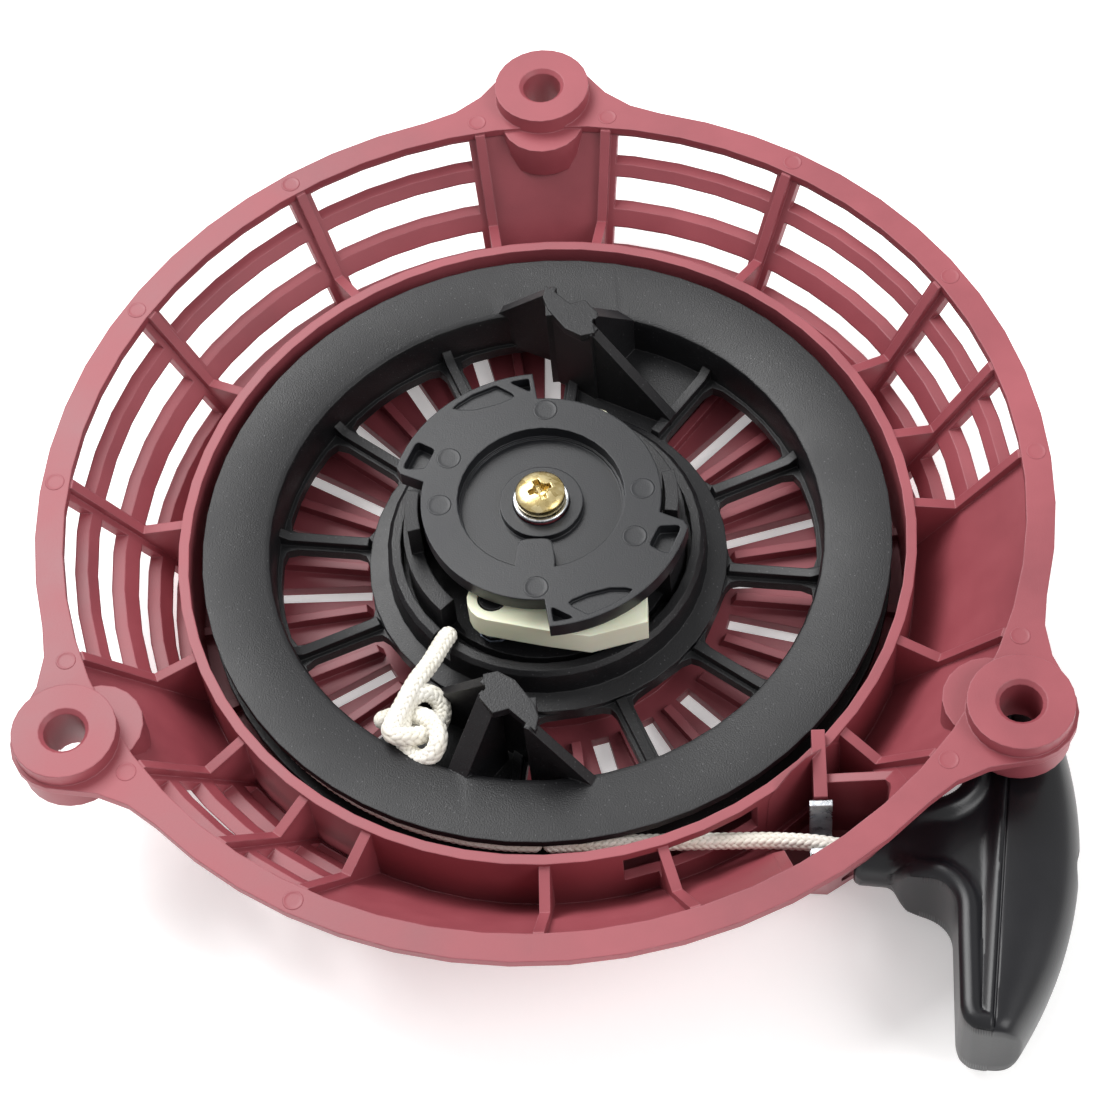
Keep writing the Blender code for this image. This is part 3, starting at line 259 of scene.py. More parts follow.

# %% [markdown]
# ## Braided polyester
#
# The rope's strands are real relief, so its material only adds what the relief cannot:
# painted shade that darkens the gaps between strands, read from an attribute the surface
# carries (0 in a valley, 1 on a crest), and the fuzz of fine filaments, drawn 0.2 mm coarse.

# %% Rope material
ROPE_CREAM, tree, shader = new_material("braided_polyester")
crest = add(tree, "Attribute", attribute_name="crest").outputs["Fac"]
place = add(tree, "TexCoord").outputs["Object"]
fuzz = add(tree, "TexNoise", {"Vector": place, "Scale": 5000.0, "Detail": 3.0}).outputs[0]
stain = add(tree, "TexNoise", {"Vector": place, "Scale": 160.0, "Detail": 3.0}).outputs[0]
cream = ramp(tree, stain, [(0.3, "#DCD7C8"), (0.55, "#ECE9DF"), (0.75, "#F5F3EC")])
# Painted shade: the low ground between strands is painted darker, towards #9B937D.
painted_valley_shade = map_range(tree, crest, 0.0, 0.62, 0.85, 0.0)
cream = add(tree, "Mix", {0: painted_valley_shade, 6: cream, 7: linear("#9B937D")}, data_type="RGBA").outputs[2]
tree.links.new(cream, shader.inputs["Base Color"])
bump = add(tree, "Bump", {"Strength": 0.35, "Distance": 0.0001, "Height": fuzz}).outputs[0]
tree.links.new(bump, shader.inputs["Normal"])
shader.inputs["Roughness"].default_value = 0.78
shader.inputs["Sheen Weight"].default_value = 0.25
print("rope material:", ROPE_CREAM.name)

# %% [markdown]
# ## Parts that keep the CAD's shape
#
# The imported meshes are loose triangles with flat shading, so a turned wall shows its facets.
# A copy whose equal corners are merged can be shaded smooth wherever two faces meet at less
# than 34 degrees. The copy then stands for its node.


# %% Merge, smooth and dress a copy
def piece_from(name, points, faces, material, body, smooth_degrees=34.0):
    """Makes a mesh object from arrays of points (metres) and faces, and rides it on body."""
    mesh = bpy.data.meshes.new(name)
    face_list = faces if isinstance(faces, list) else faces.tolist()
    mesh.from_pydata(np.asarray(points).tolist(), [], face_list)
    mesh.validate()
    mesh.shade_smooth()
    mesh.set_sharp_from_angle(angle=math.radians(smooth_degrees))
    mesh.materials.append(material)
    made = bpy.data.objects.new(name, mesh)
    scene.collection.objects.link(made)
    if body:
        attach(made, body)
    return made


def merged_arrays(mesh):
    """Points and triangles of a mesh with its equal corners merged: every coordinate is
    rounded to a micrometre, equal rows become one point, and collapsed triangles go."""
    corners = np.empty(len(mesh.vertices) * 3, np.float32)
    mesh.vertices.foreach_get("co", corners)
    loops = np.empty(len(mesh.loops), np.int32)
    mesh.loops.foreach_get("vertex_index", loops)
    rounded = np.round(corners.reshape(-1, 3).astype(float), 6)
    points, index = np.unique(rounded, axis=0, return_inverse=True)
    faces = index.reshape(-1)[loops].reshape(-1, 3)
    distinct = (faces != np.roll(faces, 1, axis=1)).all(axis=1)
    return points, faces[distinct]


def smooth_copy(node, material, body, smooth_degrees=34.0):
    """A merged copy of a CAD node, shaded smooth, that stands for it."""
    points, faces = merged_arrays(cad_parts[node].data)
    made = piece_from(node + "_skin", points, faces, material, body, smooth_degrees)
    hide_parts(node)
    return made


for node, material, body, slot in (
    ("starter_case", CASE_NYLON, "case", "case_plastic"),
    ("reel", REEL_PLASTIC, "reel", "reel_plastic"),
    ("ratchet_guide", GUIDE_PLASTIC, "guide", "guide_plastic"),
    ("ratchet_1", RATCHET_NYLON, "ratchet_1", "ratchet_nylon"),
    ("ratchet_2", RATCHET_NYLON, "ratchet_2", "ratchet_nylon"),
    ("recoil_spring", BLUED_STRIP, "case", "spring_steel"),
    ("ratchet_spring_1", BLUED_STRIP, "reel", "spring_steel"),
    ("ratchet_spring_2", BLUED_STRIP, "reel", "spring_steel"),
    ("friction_spring", BLUED_STRIP, "guide", "spring_steel"),
):
    dressed = smooth_copy(node, material, body)
    print(dressed.name, len(dressed.data.vertices), "points")

# %% [markdown]
# ## Surfaces from grids
#
# Every new piece is a grid of points: rows along something and columns around it. One
# helper joins the grid into quads, closes it round and caps its two ends, so each piece
# below is only its own formula.


# %% Grid to faces
def grid_faces(rows, columns):
    """Quads between neighbouring rows of a grid whose columns close into a ring. Point
    number = row * columns + column, and the last column joins the first."""
    row = np.arange(rows - 1)[:, None] * columns
    column = np.arange(columns)[None, :]
    following = (column + 1) % columns
    quads = np.stack([row + column, row + following, row + columns + following,
                      row + columns + column], axis=-1)
    return quads.reshape(-1, 4)


def capped(grid):
    """Points and faces of a closed tube: the grid's quads, with a fan to the middle point
    of the first row and of the last. Faces are lists, as fans have three corners."""
    rows, columns = grid.shape[:2]
    points = np.concatenate([grid.reshape(-1, 3), grid[:1].mean(axis=1), grid[-1:].mean(axis=1)])
    column = np.arange(columns)
    following = (column + 1) % columns
    first, last = rows * columns, rows * columns + 1
    near = np.stack([following, column, np.full(columns, first)], axis=-1)
    far = np.stack([(rows - 1) * columns + column, (rows - 1) * columns + following,
                    np.full(columns, last)], axis=-1)
    return points, grid_faces(rows, columns).tolist() + near.tolist() + far.tolist()


def grid_piece(name, grid, material, body, smooth_degrees=40.0):
    """A capped tube as an object. A grid that came out inside out has its faces turned."""
    points, faces = capped(grid)
    made = piece_from(name, points, faces, material, body, smooth_degrees)
    corners = np.array([[f[0], f[1], f[2]] for f in faces])
    a, b, c = (points[corners[:, i]] for i in range(3))
    if np.einsum("ij,ij->i", a, np.cross(b, c)).sum() < 0:
        made.data.flip_normals()
    return made


print("grid helper ready:", grid_faces(3, 4).shape[0], "quads in a 3 by 4 grid")

# %% [markdown]
# ## The rope
#
# Starter rope is a regular braid: eight strands run clockwise round a core and eight
# counter-clockwise, and each passes over two and under two. On the surface of a tube that
# is a height map. Numbering the strands of one family by a and of the other by b, both
# grow with the angle round the rope, and along the rope a grows while b falls. A strand is
# round across its own width, and rises and dips with a cosine as it crosses the others; the
# surface is whichever family is higher.

# %% Braided tube
ROPE_R = 1.5 * MM
STRANDS = 8
BRAID_LEAD = 11.0 * MM  # rope length in which a strand goes once round
BRAID_DEPTH = 0.30 * MM


def braid_height(along, round_angle):
    """0 to 1 over the rope's skin. a and b number the strands; profile = the square root
    of 1 minus (2 offset) squared; weave = plus or minus cosine(pi/2 (i + b - 1/2))."""
    turn = STRANDS * round_angle / (2 * np.pi)
    shift = STRANDS * along / BRAID_LEAD
    a, b = turn + shift, turn - shift
    i, j = np.round(a), np.round(b)
    across_a = np.sqrt(np.clip(1.0 - 3.6 * (a - i) ** 2, 0.0, 1.0))
    across_b = np.sqrt(np.clip(1.0 - 3.6 * (b - j) ** 2, 0.0, 1.0))
    over_a = np.cos(np.pi / 2 * (i + b - 0.5))
    over_b = -np.cos(np.pi / 2 * (a + j - 0.5))
    height = np.maximum(across_a + 0.75 * over_a, across_b + 0.75 * over_b)
    return np.clip((height - 0.35) / 1.4, 0.0, 1.0)


def smooth_path(points, spacing, rounds=400):
    """Even points along a polyline, relaxed: the line is resampled every `spacing`, then
    each inner point moves to the mean of its neighbours, round after round."""
    corners = np.asarray(points, float)
    lengths = np.r_[0.0, np.cumsum(np.linalg.norm(np.diff(corners, axis=0), axis=1))]
    stations = np.linspace(0.0, lengths[-1], int(lengths[-1] / spacing) + 2)
    line = np.stack([np.interp(stations, lengths, corners[:, k]) for k in range(3)], axis=-1)
    for _ in range(rounds):
        line[1:-1] = (line[:-2] + 2 * line[1:-1] + line[2:]) / 4
    return line


def braided_rope(name, path, body, around=64, rounded_ends=(True, True), radius=ROPE_R):
    """A braided tube along a path. At each station the sideways vector is the path's
    direction crossed with +Z, and the upward one completes the frame. point = path +
    r (sideways cos angle + upward sin angle), r = radius - depth (1 - height)."""
    direction = np.gradient(path, axis=0)
    direction /= np.linalg.norm(direction, axis=1, keepdims=True)
    sideways = np.cross(direction, (0.0, 0.0, 1.0))
    sideways /= np.linalg.norm(sideways, axis=1, keepdims=True)
    upward = np.cross(sideways, direction)
    steps = np.linalg.norm(np.diff(path, axis=0), axis=1)
    along = np.r_[0.0, np.cumsum(steps)]
    angle = np.linspace(0.0, 2 * np.pi, around, endpoint=False)
    height = braid_height(along[:, None], angle[None, :])
    shrink = np.ones(len(path))
    for wanted, distance in zip(rounded_ends, (along, along[-1] - along)):
        if wanted:
            shrink *= np.sqrt(np.clip(1 - (1 - np.clip(distance / radius, 0, 1)) ** 2, 0.02, 1))
    r = (radius - BRAID_DEPTH * (1.0 - height)) * shrink[:, None]
    grid = (path[:, None, :] + r[..., None] * (np.cos(angle)[None, :, None] * sideways[:, None, :]
                                             + np.sin(angle)[None, :, None] * upward[:, None, :]))
    made = grid_piece(name, grid, ROPE_CREAM, body, smooth_degrees=80.0)
    crest = made.data.attributes.new("crest", "FLOAT", "POINT")
    crest.data.foreach_set("value", np.r_[height.ravel(), 0.5, 0.5].astype(np.float32))
    print(name, "length %.0f mm," % (along[-1] / MM), len(made.data.polygons), "faces")
    return made


# %% [markdown]
# ## Winding, run, knot and tail
#
# The rope's own facts come first. It is 3 mm thick and about 1.5 m long. Just over three
# turns lie in the reel's groove, in two staggered layers; they leave it at the bottom, go
# straight to the steel guide, bend once there and enter the grip's nose. At its inner end
# the rope passes through the groove's wall to a knot, and its loose tail is tucked into the
# hub. A knot of this kind has three lobes, so a trefoil curve is its path.

# %% Winding
EXIT_ANGLE = math.radians(269.5)
HOLE_ANGLE = math.radians(240.0)
OUTER_TURN_R, INNER_TURN_R = 65.0 * MM, 58.3 * MM
GROOVE_MIDDLE = 17.35 * MM
TURNS = 3
LAYER_RISE = 1.3 * MM  # how far a turn of one layer lies above or below the groove's middle
first = HOLE_ANGLE - 2 * np.pi * TURNS
winding_steps = int((EXIT_ANGLE - first) * OUTER_TURN_R / (0.32 * MM))
bearing = np.linspace(first, EXIT_ANGLE, winding_steps)
share = (bearing - first) / (EXIT_ANGLE - first)
turn_r = INNER_TURN_R + (OUTER_TURN_R - INNER_TURN_R) * share
layer = np.tanh(3.0 * np.cos(np.pi * (EXIT_ANGLE - bearing) / (2 * np.pi)))
turn_z = GROOVE_MIDDLE + 0.15 * MM + LAYER_RISE * layer * np.clip(6 * (1 - share), 0, 1)
winding_path = np.stack([turn_r * np.cos(bearing), turn_r * np.sin(bearing), turn_z], axis=-1)
rope_winding = braided_rope("rope_winding_turns", winding_path, "reel", around=32)
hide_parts("rope_winding")

# %% Run to the grip
ROPE_HEIGHT = 17.5
TAUT_ROPE_R = 1.6 * MM
GUIDE_EYE = (50.6, -65.7, 16.4)
NOSE_AT = np.array((56.6, -67.0, 15.0))
GRIP_TURN = math.radians(-7.5)  # the grip hangs 1.5 degrees off its line of pull
grip_axis = np.array((math.cos(GRIP_TURN), math.sin(GRIP_TURN), 0.0))
leaves = np.array((65.0 * math.cos(EXIT_ANGLE), 65.0 * math.sin(EXIT_ANGLE), ROPE_HEIGHT))
heading = np.array((-math.sin(EXIT_ANGLE), math.cos(EXIT_ANGLE), 0.0))
run_corners = np.array([leaves, leaves + 30 * heading, leaves + 42 * heading - (0, 0, 0.1),
                        GUIDE_EYE, NOSE_AT + 4 * grip_axis, NOSE_AT + 9 * grip_axis]) * MM
rope_run = braided_rope("rope_run_braid", smooth_path(run_corners, 0.16 * MM), None,
                        around=80, radius=TAUT_ROPE_R)
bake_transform(rope_run)
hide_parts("rope_run")

# %% Knot and tail
KNOT_CENTRE = np.array((-24.3, -42.0, 22.6))
KNOT_TURN = math.radians(28.0)
KNOT_SCALE, KNOT_RISE = 2.45, 1.9
KNOT_ROPE_R = 1.85 * MM  # the rope is slack here, so its strands spread
t = np.linspace(-0.55, 2 * np.pi - 1.15, 160)
trefoil = np.stack([np.sin(t) + 2 * np.sin(2 * t), np.cos(t) - 2 * np.cos(2 * t),
                    -np.sin(3 * t) * KNOT_RISE / KNOT_SCALE], axis=-1) * KNOT_SCALE
turned = np.array([[math.cos(KNOT_TURN), math.sin(KNOT_TURN), 0.0],
                   [-math.sin(KNOT_TURN), math.cos(KNOT_TURN), 0.0], [0.0, 0.0, 1.0]])
knot_line = trefoil @ turned + KNOT_CENTRE
tail_line = np.array([(-17.6, -20.9, 21.8), (-18.9, -22.9, 22.4), (-21.6, -29.8, 24.2),
                      (-24.0, -34.2, 25.6)])
knot_path = smooth_path(np.concatenate([tail_line, knot_line]) * MM, 0.16 * MM, rounds=160)
rope_knot = braided_rope("rope_knot_and_tail", knot_path, "reel", radius=KNOT_ROPE_R)
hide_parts("rope_knot", "rope_tail")

# %% Through the reel's wall
hole = np.array((math.cos(HOLE_ANGLE), math.sin(HOLE_ANGLE), 0.0))
root_corners = np.array([58.0 * hole + (0, 0, 17.4), 54.2 * hole + (0, 0, 17.5),
                         50.0 * hole + (-0.2, 0.5, 19.6), (-24.2, -41.0, 21.4)]) * MM
root_path = smooth_path(root_corners, 0.2 * MM, rounds=60)
rope_root = braided_rope("rope_root_braid", root_path, "reel", around=48)
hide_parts("rope_root")
for node in ("grip_rope", "grip_knot"):
    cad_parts[node].data.materials.clear()
    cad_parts[node].data.materials.append(ROPE_CREAM)

# %% [markdown]
# ## The grip
#
# The grip is a T: a stem that starts as a round nose and a bar that fills the hand. Seen
# from above, its inner outline runs from the nose along the stem, round a fillet and out
# along the bar, and its outer outline is the palm's wide arc. Straight lines from one
# outline to the other cover the whole T without crossing, so the two shares (t along the
# outlines, s across) are the surface's parameters. The height over that plan is a formula of
# distance: a rounded bead follows the inner edge, a shallow groove lies behind it, a thin
# parting line crosses the bar, and the palm falls away in a superellipse.

# %% Grip outline and height
GRIP_HALF_THICK = 10.0
NOSE_R, NOSE_LENGTH, STEM_HALF = 6.0, 7.0, 8.0
BAR_INNER, BAR_HALF, FILLET = 19.0, 36.6, 6.0
PARTING = 26.5
PALM_R, GRIP_DEPTH = 78.0, 40.5
BEAD = 2.3
GROOVE_DROP = 1.6
SEAM_DEPTH = 0.4  # of the thin parting line


def resampled(points, count):
    """`count` points evenly along a polyline."""
    line = np.asarray(points, float)
    length = np.r_[0.0, np.cumsum(np.linalg.norm(np.diff(line, axis=0), axis=1))]
    at = np.linspace(0.0, length[-1], count)
    return np.stack([np.interp(at, length, line[:, k]) for k in range(2)], axis=-1)


def relaxed(line, rounds):
    """Rounds the corners of an evenly spaced line, holding its ends."""
    for _ in range(rounds):
        line[1:-1] = (line[:-2] + 2 * line[1:-1] + line[2:]) / 4
    return line


quarter = np.radians(np.linspace(0, 90, 12))
fillet = np.stack([BAR_INNER - FILLET + FILLET * np.sin(quarter),
                   STEM_HALF + FILLET - FILLET * np.cos(quarter)], axis=-1)
inner_half = np.concatenate([
    [(0.0, 0.0), (0.0, 5.0), (0.4, 5.6), (1.2, NOSE_R), (NOSE_LENGTH, NOSE_R), (8.6, 7.1),
     (11.0, 7.7)], fillet,
    [(20.6, 32.8), (21.4, 35.0), (23.2, 36.4), (PARTING, BAR_HALF)]])
inner_half = relaxed(resampled(inner_half, 240), 14)
palm_v = np.linspace(0.0, 33.8, 60)
palm_u = GRIP_DEPTH - PALM_R + np.sqrt(PALM_R**2 - palm_v**2)
outer_half = np.concatenate([np.stack([palm_u, palm_v], axis=-1),
                             [(31.9, 35.6), (30.1, 36.4), (PARTING, BAR_HALF)]])
stem_share = 0.46
reach = np.linspace(0.0, 1.0, 240)
outer_at = np.interp(reach, [0.0, stem_share, 1.0], [0.0, 0.17, 1.0])
outer_line = relaxed(resampled(outer_half, 400), 30)
outer_half = np.stack([np.interp(outer_at, np.linspace(0, 1, 400), outer_line[:, k])
                       for k in range(2)], axis=-1)
mirror = np.array((1.0, -1.0))
inner_edge = np.concatenate([inner_half[:0:-1] * mirror, inner_half])
outer_edge = np.concatenate([outer_half[:0:-1] * mirror, outer_half])


def smoothstep(low, high, x):
    """0 below low, 1 above high, 3x^2 - 2x^3 between."""
    x = np.clip((x - low) / (high - low), 0.0, 1.0)
    return x * x * (3 - 2 * x)


def distance_to(line, u, v):
    """Each point's distance to a polyline's nearest corner, a block of rows at a time."""
    points = np.stack([u, v], axis=-1)
    return np.linalg.norm(points[:, :, None, :] - line[None, None, :, :], axis=-1).min(axis=-1)


def grip_height(u, v):
    """Half thickness over the plan. Bead: a quarter circle of radius BEAD at the edge, then
    a cosine down into the groove. Palm: (1 - q^n)^(1/n), q from the parting to the arc.
    Nose: the square root of R^2 - v^2, blended into the stem."""
    edge = distance_to(inner_edge[::2], u, v)
    low = GRIP_HALF_THICK - GROOVE_DROP
    rise = low + GROOVE_DROP * np.sqrt(np.clip(1 - (1 - edge / BEAD) ** 2, 0, 1))
    fall = GRIP_HALF_THICK - GROOVE_DROP * smoothstep(BEAD, BEAD + 2.6, edge)
    stem = np.where(edge < BEAD, rise, fall)
    second_rise = smoothstep(PARTING - 3.6, PARTING - 0.6, u) * smoothstep(0.0, 1.2, edge)
    stem = np.maximum(stem, low + (GROOVE_DROP - 0.25) * second_rise)
    stem -= SEAM_DEPTH * smoothstep(PARTING - 0.5, PARTING, u)
    arc_u = GRIP_DEPTH - PALM_R + np.sqrt(PALM_R**2 - np.clip(v, -38, 38) ** 2)
    q = np.clip((u - PARTING) / (arc_u - PARTING), 0.0, 1.0)
    ends = np.clip((BAR_HALF - np.abs(v)) / 2.6, 0.0, 1.0)
    rounding = 1.45 * (1 - np.sqrt(np.clip(1 - (1 - ends) ** 2, 0, 1)))
    palm = (9.75 - rounding) * np.clip(1 - q**2.5, 0.0, 1.0) ** (1 / 2.5)
    palm -= SEAM_DEPTH * (1 - smoothstep(0.0, 0.4, u - PARTING)) * smoothstep(0.0, 1.0, edge)
    body = np.where(u < PARTING, stem, palm)
    radius = np.interp(u, [0.0, 0.4, 1.2, NOSE_LENGTH, 8.6, 11.0, 60.0],
                       [5.0, 5.6, NOSE_R, NOSE_R, 7.1, 7.7, STEM_HALF])
    nose = np.sqrt(np.clip(radius**2 - v**2, 0.0, None))
    blend = smoothstep(NOSE_LENGTH - 0.6, NOSE_LENGTH + 3.4, u)
    slimmer = 0.72 + 0.28 * smoothstep(6.0, 17.0, u)
    return (1 - blend) * nose + blend * body * slimmer


across = (1 - np.cos(np.linspace(0, np.pi, 30))) / 2
width = np.maximum(outer_edge[:, 0] - inner_edge[:, 0], 1e-6)
reach_in = np.clip((PARTING - inner_edge[:, 0]) / width, 0, 1)
s = np.concatenate([reach_in[:, None] * across[None, :],
                    reach_in[:, None] + (1 - reach_in[:, None]) * across[None, 1:]], axis=1)
u = inner_edge[:, :1] * (1 - s) + outer_edge[:, :1] * s
v = inner_edge[:, 1:] * (1 - s) + outer_edge[:, 1:] * s
h = grip_height(u, v)
print("grip plan %.1f by %.1f mm, half thickness up to %.1f" % (np.ptp(u), np.ptp(v), h.max()))

# %% Grip surface
WALL_STEPS = 6
top = np.stack([u, v, h], axis=-1)
bottom = np.stack([u, v, -h], axis=-1)[:, ::-1]
down = np.linspace(1, -1, WALL_STEPS + 2)[1:-1][None, :, None]
outer_wall = np.concatenate([np.broadcast_to(top[:, -1:, :2], (len(u), WALL_STEPS, 2)),
                             h[:, -1:, None] * down], axis=-1)
inner_wall = np.concatenate([np.broadcast_to(top[:, :1, :2], (len(u), WALL_STEPS, 2)),
                             -h[:, :1, None] * down], axis=-1)
ring = np.concatenate([top, outer_wall, bottom, inner_wall], axis=1)
turn_grip = np.array([[math.cos(GRIP_TURN), math.sin(GRIP_TURN), 0.0],
                      [-math.sin(GRIP_TURN), math.cos(GRIP_TURN), 0.0], [0.0, 0.0, 1.0]])
ring = (ring @ turn_grip + NOSE_AT) * MM
grip = grid_piece("grip_body", ring, GRIP_PLASTIC, "grip", smooth_degrees=42.0)
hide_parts("grip")
print(grip.name, len(grip.data.polygons), "faces")

# %% [markdown]
# ## The knot's pocket
#
# The rope's outer end is knotted in a round pocket in the palm. A plain cylinder cuts it,
# and is thrown away once the cut is part of the grip's mesh.

# %% Knot pocket
POCKET_R, POCKET_DEPTH, POCKET_SIDES = 4.0, 15.0, 64
pocket_ends = np.array([GRIP_DEPTH - POCKET_DEPTH, GRIP_DEPTH + 2.0])
pocket_u = pocket_ends[:, None] + np.zeros(POCKET_SIDES)
pocket_turn = np.linspace(0, 2 * np.pi, POCKET_SIDES, endpoint=False) + np.zeros((2, 1))
pocket_grid = np.stack([pocket_u, POCKET_R * np.cos(pocket_turn),
                        POCKET_R * np.sin(pocket_turn)], axis=-1)
pocket = grid_piece("knot_pocket", (pocket_grid @ turn_grip + NOSE_AT) * MM, GRIP_PLASTIC, None)
carving = grip.modifiers.new("pocket", "BOOLEAN")
carving.operation, carving.solver, carving.object = "DIFFERENCE", "EXACT", pocket
bpy.context.view_layer.update()
carved = grip.evaluated_get(bpy.context.evaluated_depsgraph_get())
carved_mesh = bpy.data.meshes.new_from_object(carved)
grip.modifiers.clear()
grip.data = carved_mesh
bpy.data.objects.remove(pocket, do_unlink=True)
print(grip.name, len(grip.data.polygons), "faces with its pocket")

# %% [markdown]
# ## Marks of the mould
#
# Ejector pins push a moulding out of its tool, and each leaves a shallow dish with a thin
# raised rim. They sit in a ring on the flange and on the guide's disc. Each is a turned
# profile, and all the marks on one part are one piece.


# %% Ejector marks
def marks(name, centres, top_z, radius, material, body, rise=1.0, sides=40):
    """Shallow dishes with a rim. height(r) is 0.03 mm in the dish and rises to 0.11 mm at
    the rim, all times rise; the same ring of points is set down at every centre."""
    r = np.array([0.0, 0.6, 0.82, 0.89, 0.95, 1.0, 1.04, 1.0, 0.5]) * radius
    z = np.array([0.02, 0.02, 0.03, 0.08, 0.10, 0.07, -0.05, -0.4, -0.4]) * rise
    angle = np.linspace(0, 2 * np.pi, sides, endpoint=False)
    r[0], r[-1] = 0.02, 0.02
    ring = np.stack([r[:, None] * np.cos(angle), r[:, None] * np.sin(angle),
                     np.broadcast_to(z[:, None], (len(z), sides))], axis=-1)
    all_points, all_faces = [], []
    for number, (x, y) in enumerate(centres):
        points, faces = capped(ring + np.array((x, y, top_z)))
        all_points.append(points * MM)
        all_faces += [[corner + number * len(points) for corner in face] for face in faces]
    made = piece_from(name, np.concatenate(all_points), all_faces, material, body, 50.0)
    made.data.flip_normals()
    return made


FLANGE_TOP, GUIDE_TOP, MARK_RING_R = 35.8, 35.2, 94.4
flange_angles = np.radians((3.7, 31.0, 57.2, 81.8, 98.3, 123.3, 149.5, 175.8, 200.7, 217.3,
                            242.7, 320.8, 338.6))
flange_spots = MARK_RING_R * np.stack([np.cos(flange_angles), np.sin(flange_angles)], axis=-1)
marks("flange_ejector_marks", flange_spots, FLANGE_TOP, 1.85, CASE_NYLON, "case")
guide_spots = np.array([(-17.8, 9.6), (0.8, 20.2), (19.4, 1.1)])
marks("guide_ejector_marks", np.concatenate([guide_spots, -guide_spots]), GUIDE_TOP, 2.3,
      GUIDE_PLASTIC, "guide", rise=0.45)
print("ejector marks:", len(flange_angles), "on the flange,", 2 * len(guide_spots), "on the guide")

# %% [markdown]
# ## Screw, washer and rope guide
#
# A pan-head screw is a low dome with a cross recess. As a height over the circle it is one
# formula: an ellipse's dome, less the recess, whose floor slopes up along each arm. The
# washer is a turned ring with eased edges, and the rope guide is a flat strip bent into a U.

# %% Screw
HEAD_R, HEAD_LOW, HEAD_TOP = 4.75, 35.1, 38.1
RECESS_ARM, RECESS_HALF, RECESS_DEPTH = 2.35, 0.5, 2.0
CROSS_TURN = math.radians(22.0)
radial = np.concatenate([[0.02], np.linspace(0.12, 4.2, 42), np.linspace(4.3, HEAD_R, 10)])
spoke = np.linspace(0, 2 * np.pi, 144, endpoint=False)
x, y = radial[:, None] * np.cos(spoke - CROSS_TURN), radial[:, None] * np.sin(spoke - CROSS_TURN)
dome = HEAD_TOP - 1.6 * (1 - np.sqrt(np.clip(1 - (radial / (HEAD_R * 1.02)) ** 2, 0, 1)))[:, None]
near_arm = np.minimum(np.abs(x), np.abs(y))
far_arm = np.maximum(np.abs(x), np.abs(y))
inside = (1 - smoothstep(RECESS_HALF - 0.12, RECESS_HALF + 0.12, near_arm)) * (
    1 - smoothstep(RECESS_ARM - 0.5, RECESS_ARM, far_arm))
centre = 1 - smoothstep(0.9, 1.4, radial)[:, None] * np.ones_like(x)
arm_depth = inside * (1 - 0.25 * far_arm / RECESS_ARM)
head_z = dome - RECESS_DEPTH * np.maximum(arm_depth, 0.75 * centre)
shaft_r = np.array([HEAD_R, HEAD_R - 0.15, 2.45, 2.45, 1.6, 0.02])
shaft_z = np.array([HEAD_LOW + 0.25, HEAD_LOW, HEAD_LOW, 18.1, 17.3, 17.3])
r_all = np.concatenate([radial, shaft_r])
z_all = np.concatenate([head_z, np.broadcast_to(shaft_z[:, None], (len(shaft_z), len(spoke)))])
screw_grid = np.stack([r_all[:, None] * np.cos(spoke), r_all[:, None] * np.sin(spoke), z_all],
                      axis=-1)
screw = grid_piece("centre_screw_head", screw_grid * MM, YELLOW_ZINC, "case", 38.0)
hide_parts("centre_screw")
print(screw.name, len(screw.data.polygons), "faces")


# %% Washer and rope guide
def ring_faces_piece(name, profile_r, profile_z, material, body, sides=96):
    """A turned ring: a closed profile of radii and heights carried round the Z axis."""
    angle = np.linspace(0, 2 * np.pi, sides, endpoint=False)
    r, z = np.asarray(profile_r)[:, None], np.asarray(profile_z)[:, None]
    grid = np.stack([r * np.cos(angle), r * np.sin(angle), z + 0 * angle], axis=-1) * MM
    rows = len(profile_r)
    faces = grid_faces(rows + 1, sides) % (rows * sides)
    return piece_from(name, grid.reshape(-1, 3), faces[:, ::-1], material, body, 40.0)


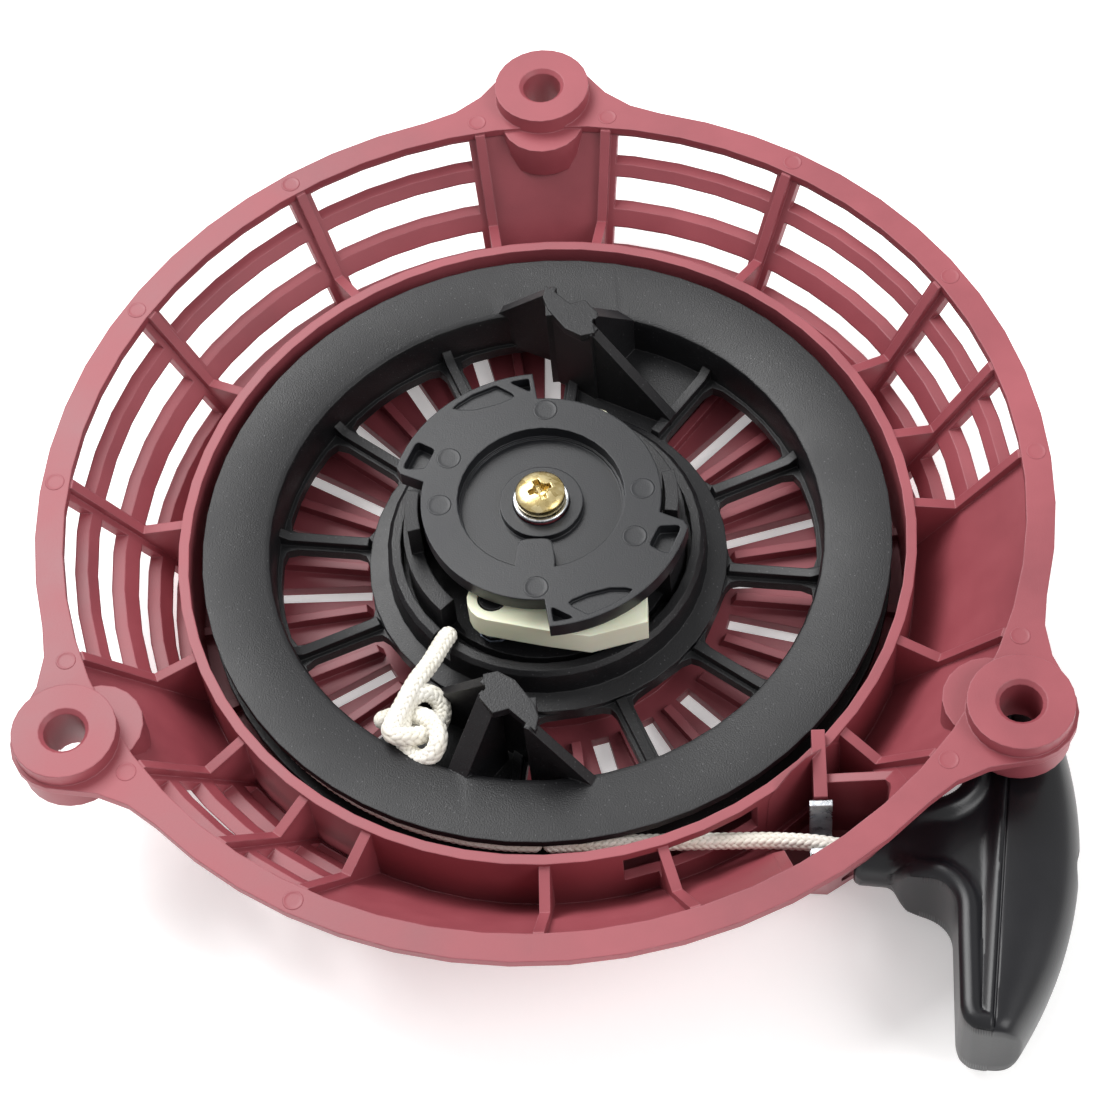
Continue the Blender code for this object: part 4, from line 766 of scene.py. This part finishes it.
washer = ring_faces_piece("washer_ring", [2.8, 2.95, 5.15, 5.35, 5.35, 5.2, 2.95, 2.8],
                          [34.7, 34.8, 34.8, 34.62, 34.15, 34.0, 34.0, 34.1], GALVANISED, "case")
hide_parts("screw_washer")
guide_skin = smooth_copy("rope_guide", GALVANISED, "case")
print(washer.name, guide_skin.name)

# %% [markdown]
# ## Floor and light
#
# The floor is a wide white sheet just under the part. One large soft box above and behind
# gives the long highlights on rims and spokes, a second fills from the front right, and a
# white world keeps the shadows open, as in a light tent. The floor glows a little, so its
# shade stays pale.

# %% Floor
FLOOR_HALF = 3.0
floor_mesh = bpy.data.meshes.new("floor")
floor_corners = np.array([(-1, -1, 0), (1, -1, 0), (1, 1, 0), (-1, 1, 0)]) * FLOOR_HALF
floor_corners[:, 2] = -0.02 * MM
floor_mesh.from_pydata(floor_corners.tolist(), [], [(0, 1, 2, 3)])
floor = bpy.data.objects.new("floor", floor_mesh)
scene.collection.objects.link(floor)
FLOOR_WHITE, tree, shader = new_material("matte_white_paper")
tooth = add(tree, "TexNoise", {"Vector": add(tree, "TexCoord").outputs["Object"], "Scale": 900.0})
paper = ramp(tree, tooth.outputs[0], [(0.3, "#F6F6F5"), (0.5, "#F9F9F8"), (0.7, "#FBFBFB")])
tree.links.new(paper, shader.inputs["Base Color"])
shader.inputs["Roughness"].default_value = 0.9
shader.inputs["Emission Color"].default_value = linear("#FFFFFF")
shader.inputs["Emission Strength"].default_value = 0.28
floor_mesh.materials.append(FLOOR_WHITE)

# %% Lights
world = bpy.data.worlds.new("light_tent")
scene.world = world
world.use_nodes = True
world.node_tree.nodes["Background"].inputs["Color"].default_value = (1.0, 1.0, 1.0, 1.0)
world.node_tree.nodes["Background"].inputs["Strength"].default_value = 0.72

for name, place, size, power in (
    ("key", (-0.45, 0.55, 0.95), 0.7, 15.0),
    ("fill", (0.75, -0.35, 0.8), 0.6, 5.5),
):
    light_data = bpy.data.lights.new(name, "AREA")
    light_data.size = size
    light_data.energy = power
    light = bpy.data.objects.new(name, light_data)
    light.location = place
    light.rotation_euler = (LOOKS_AT - Vector(place)).to_track_quat("-Z", "Y").to_euler()
    scene.collection.objects.link(light)
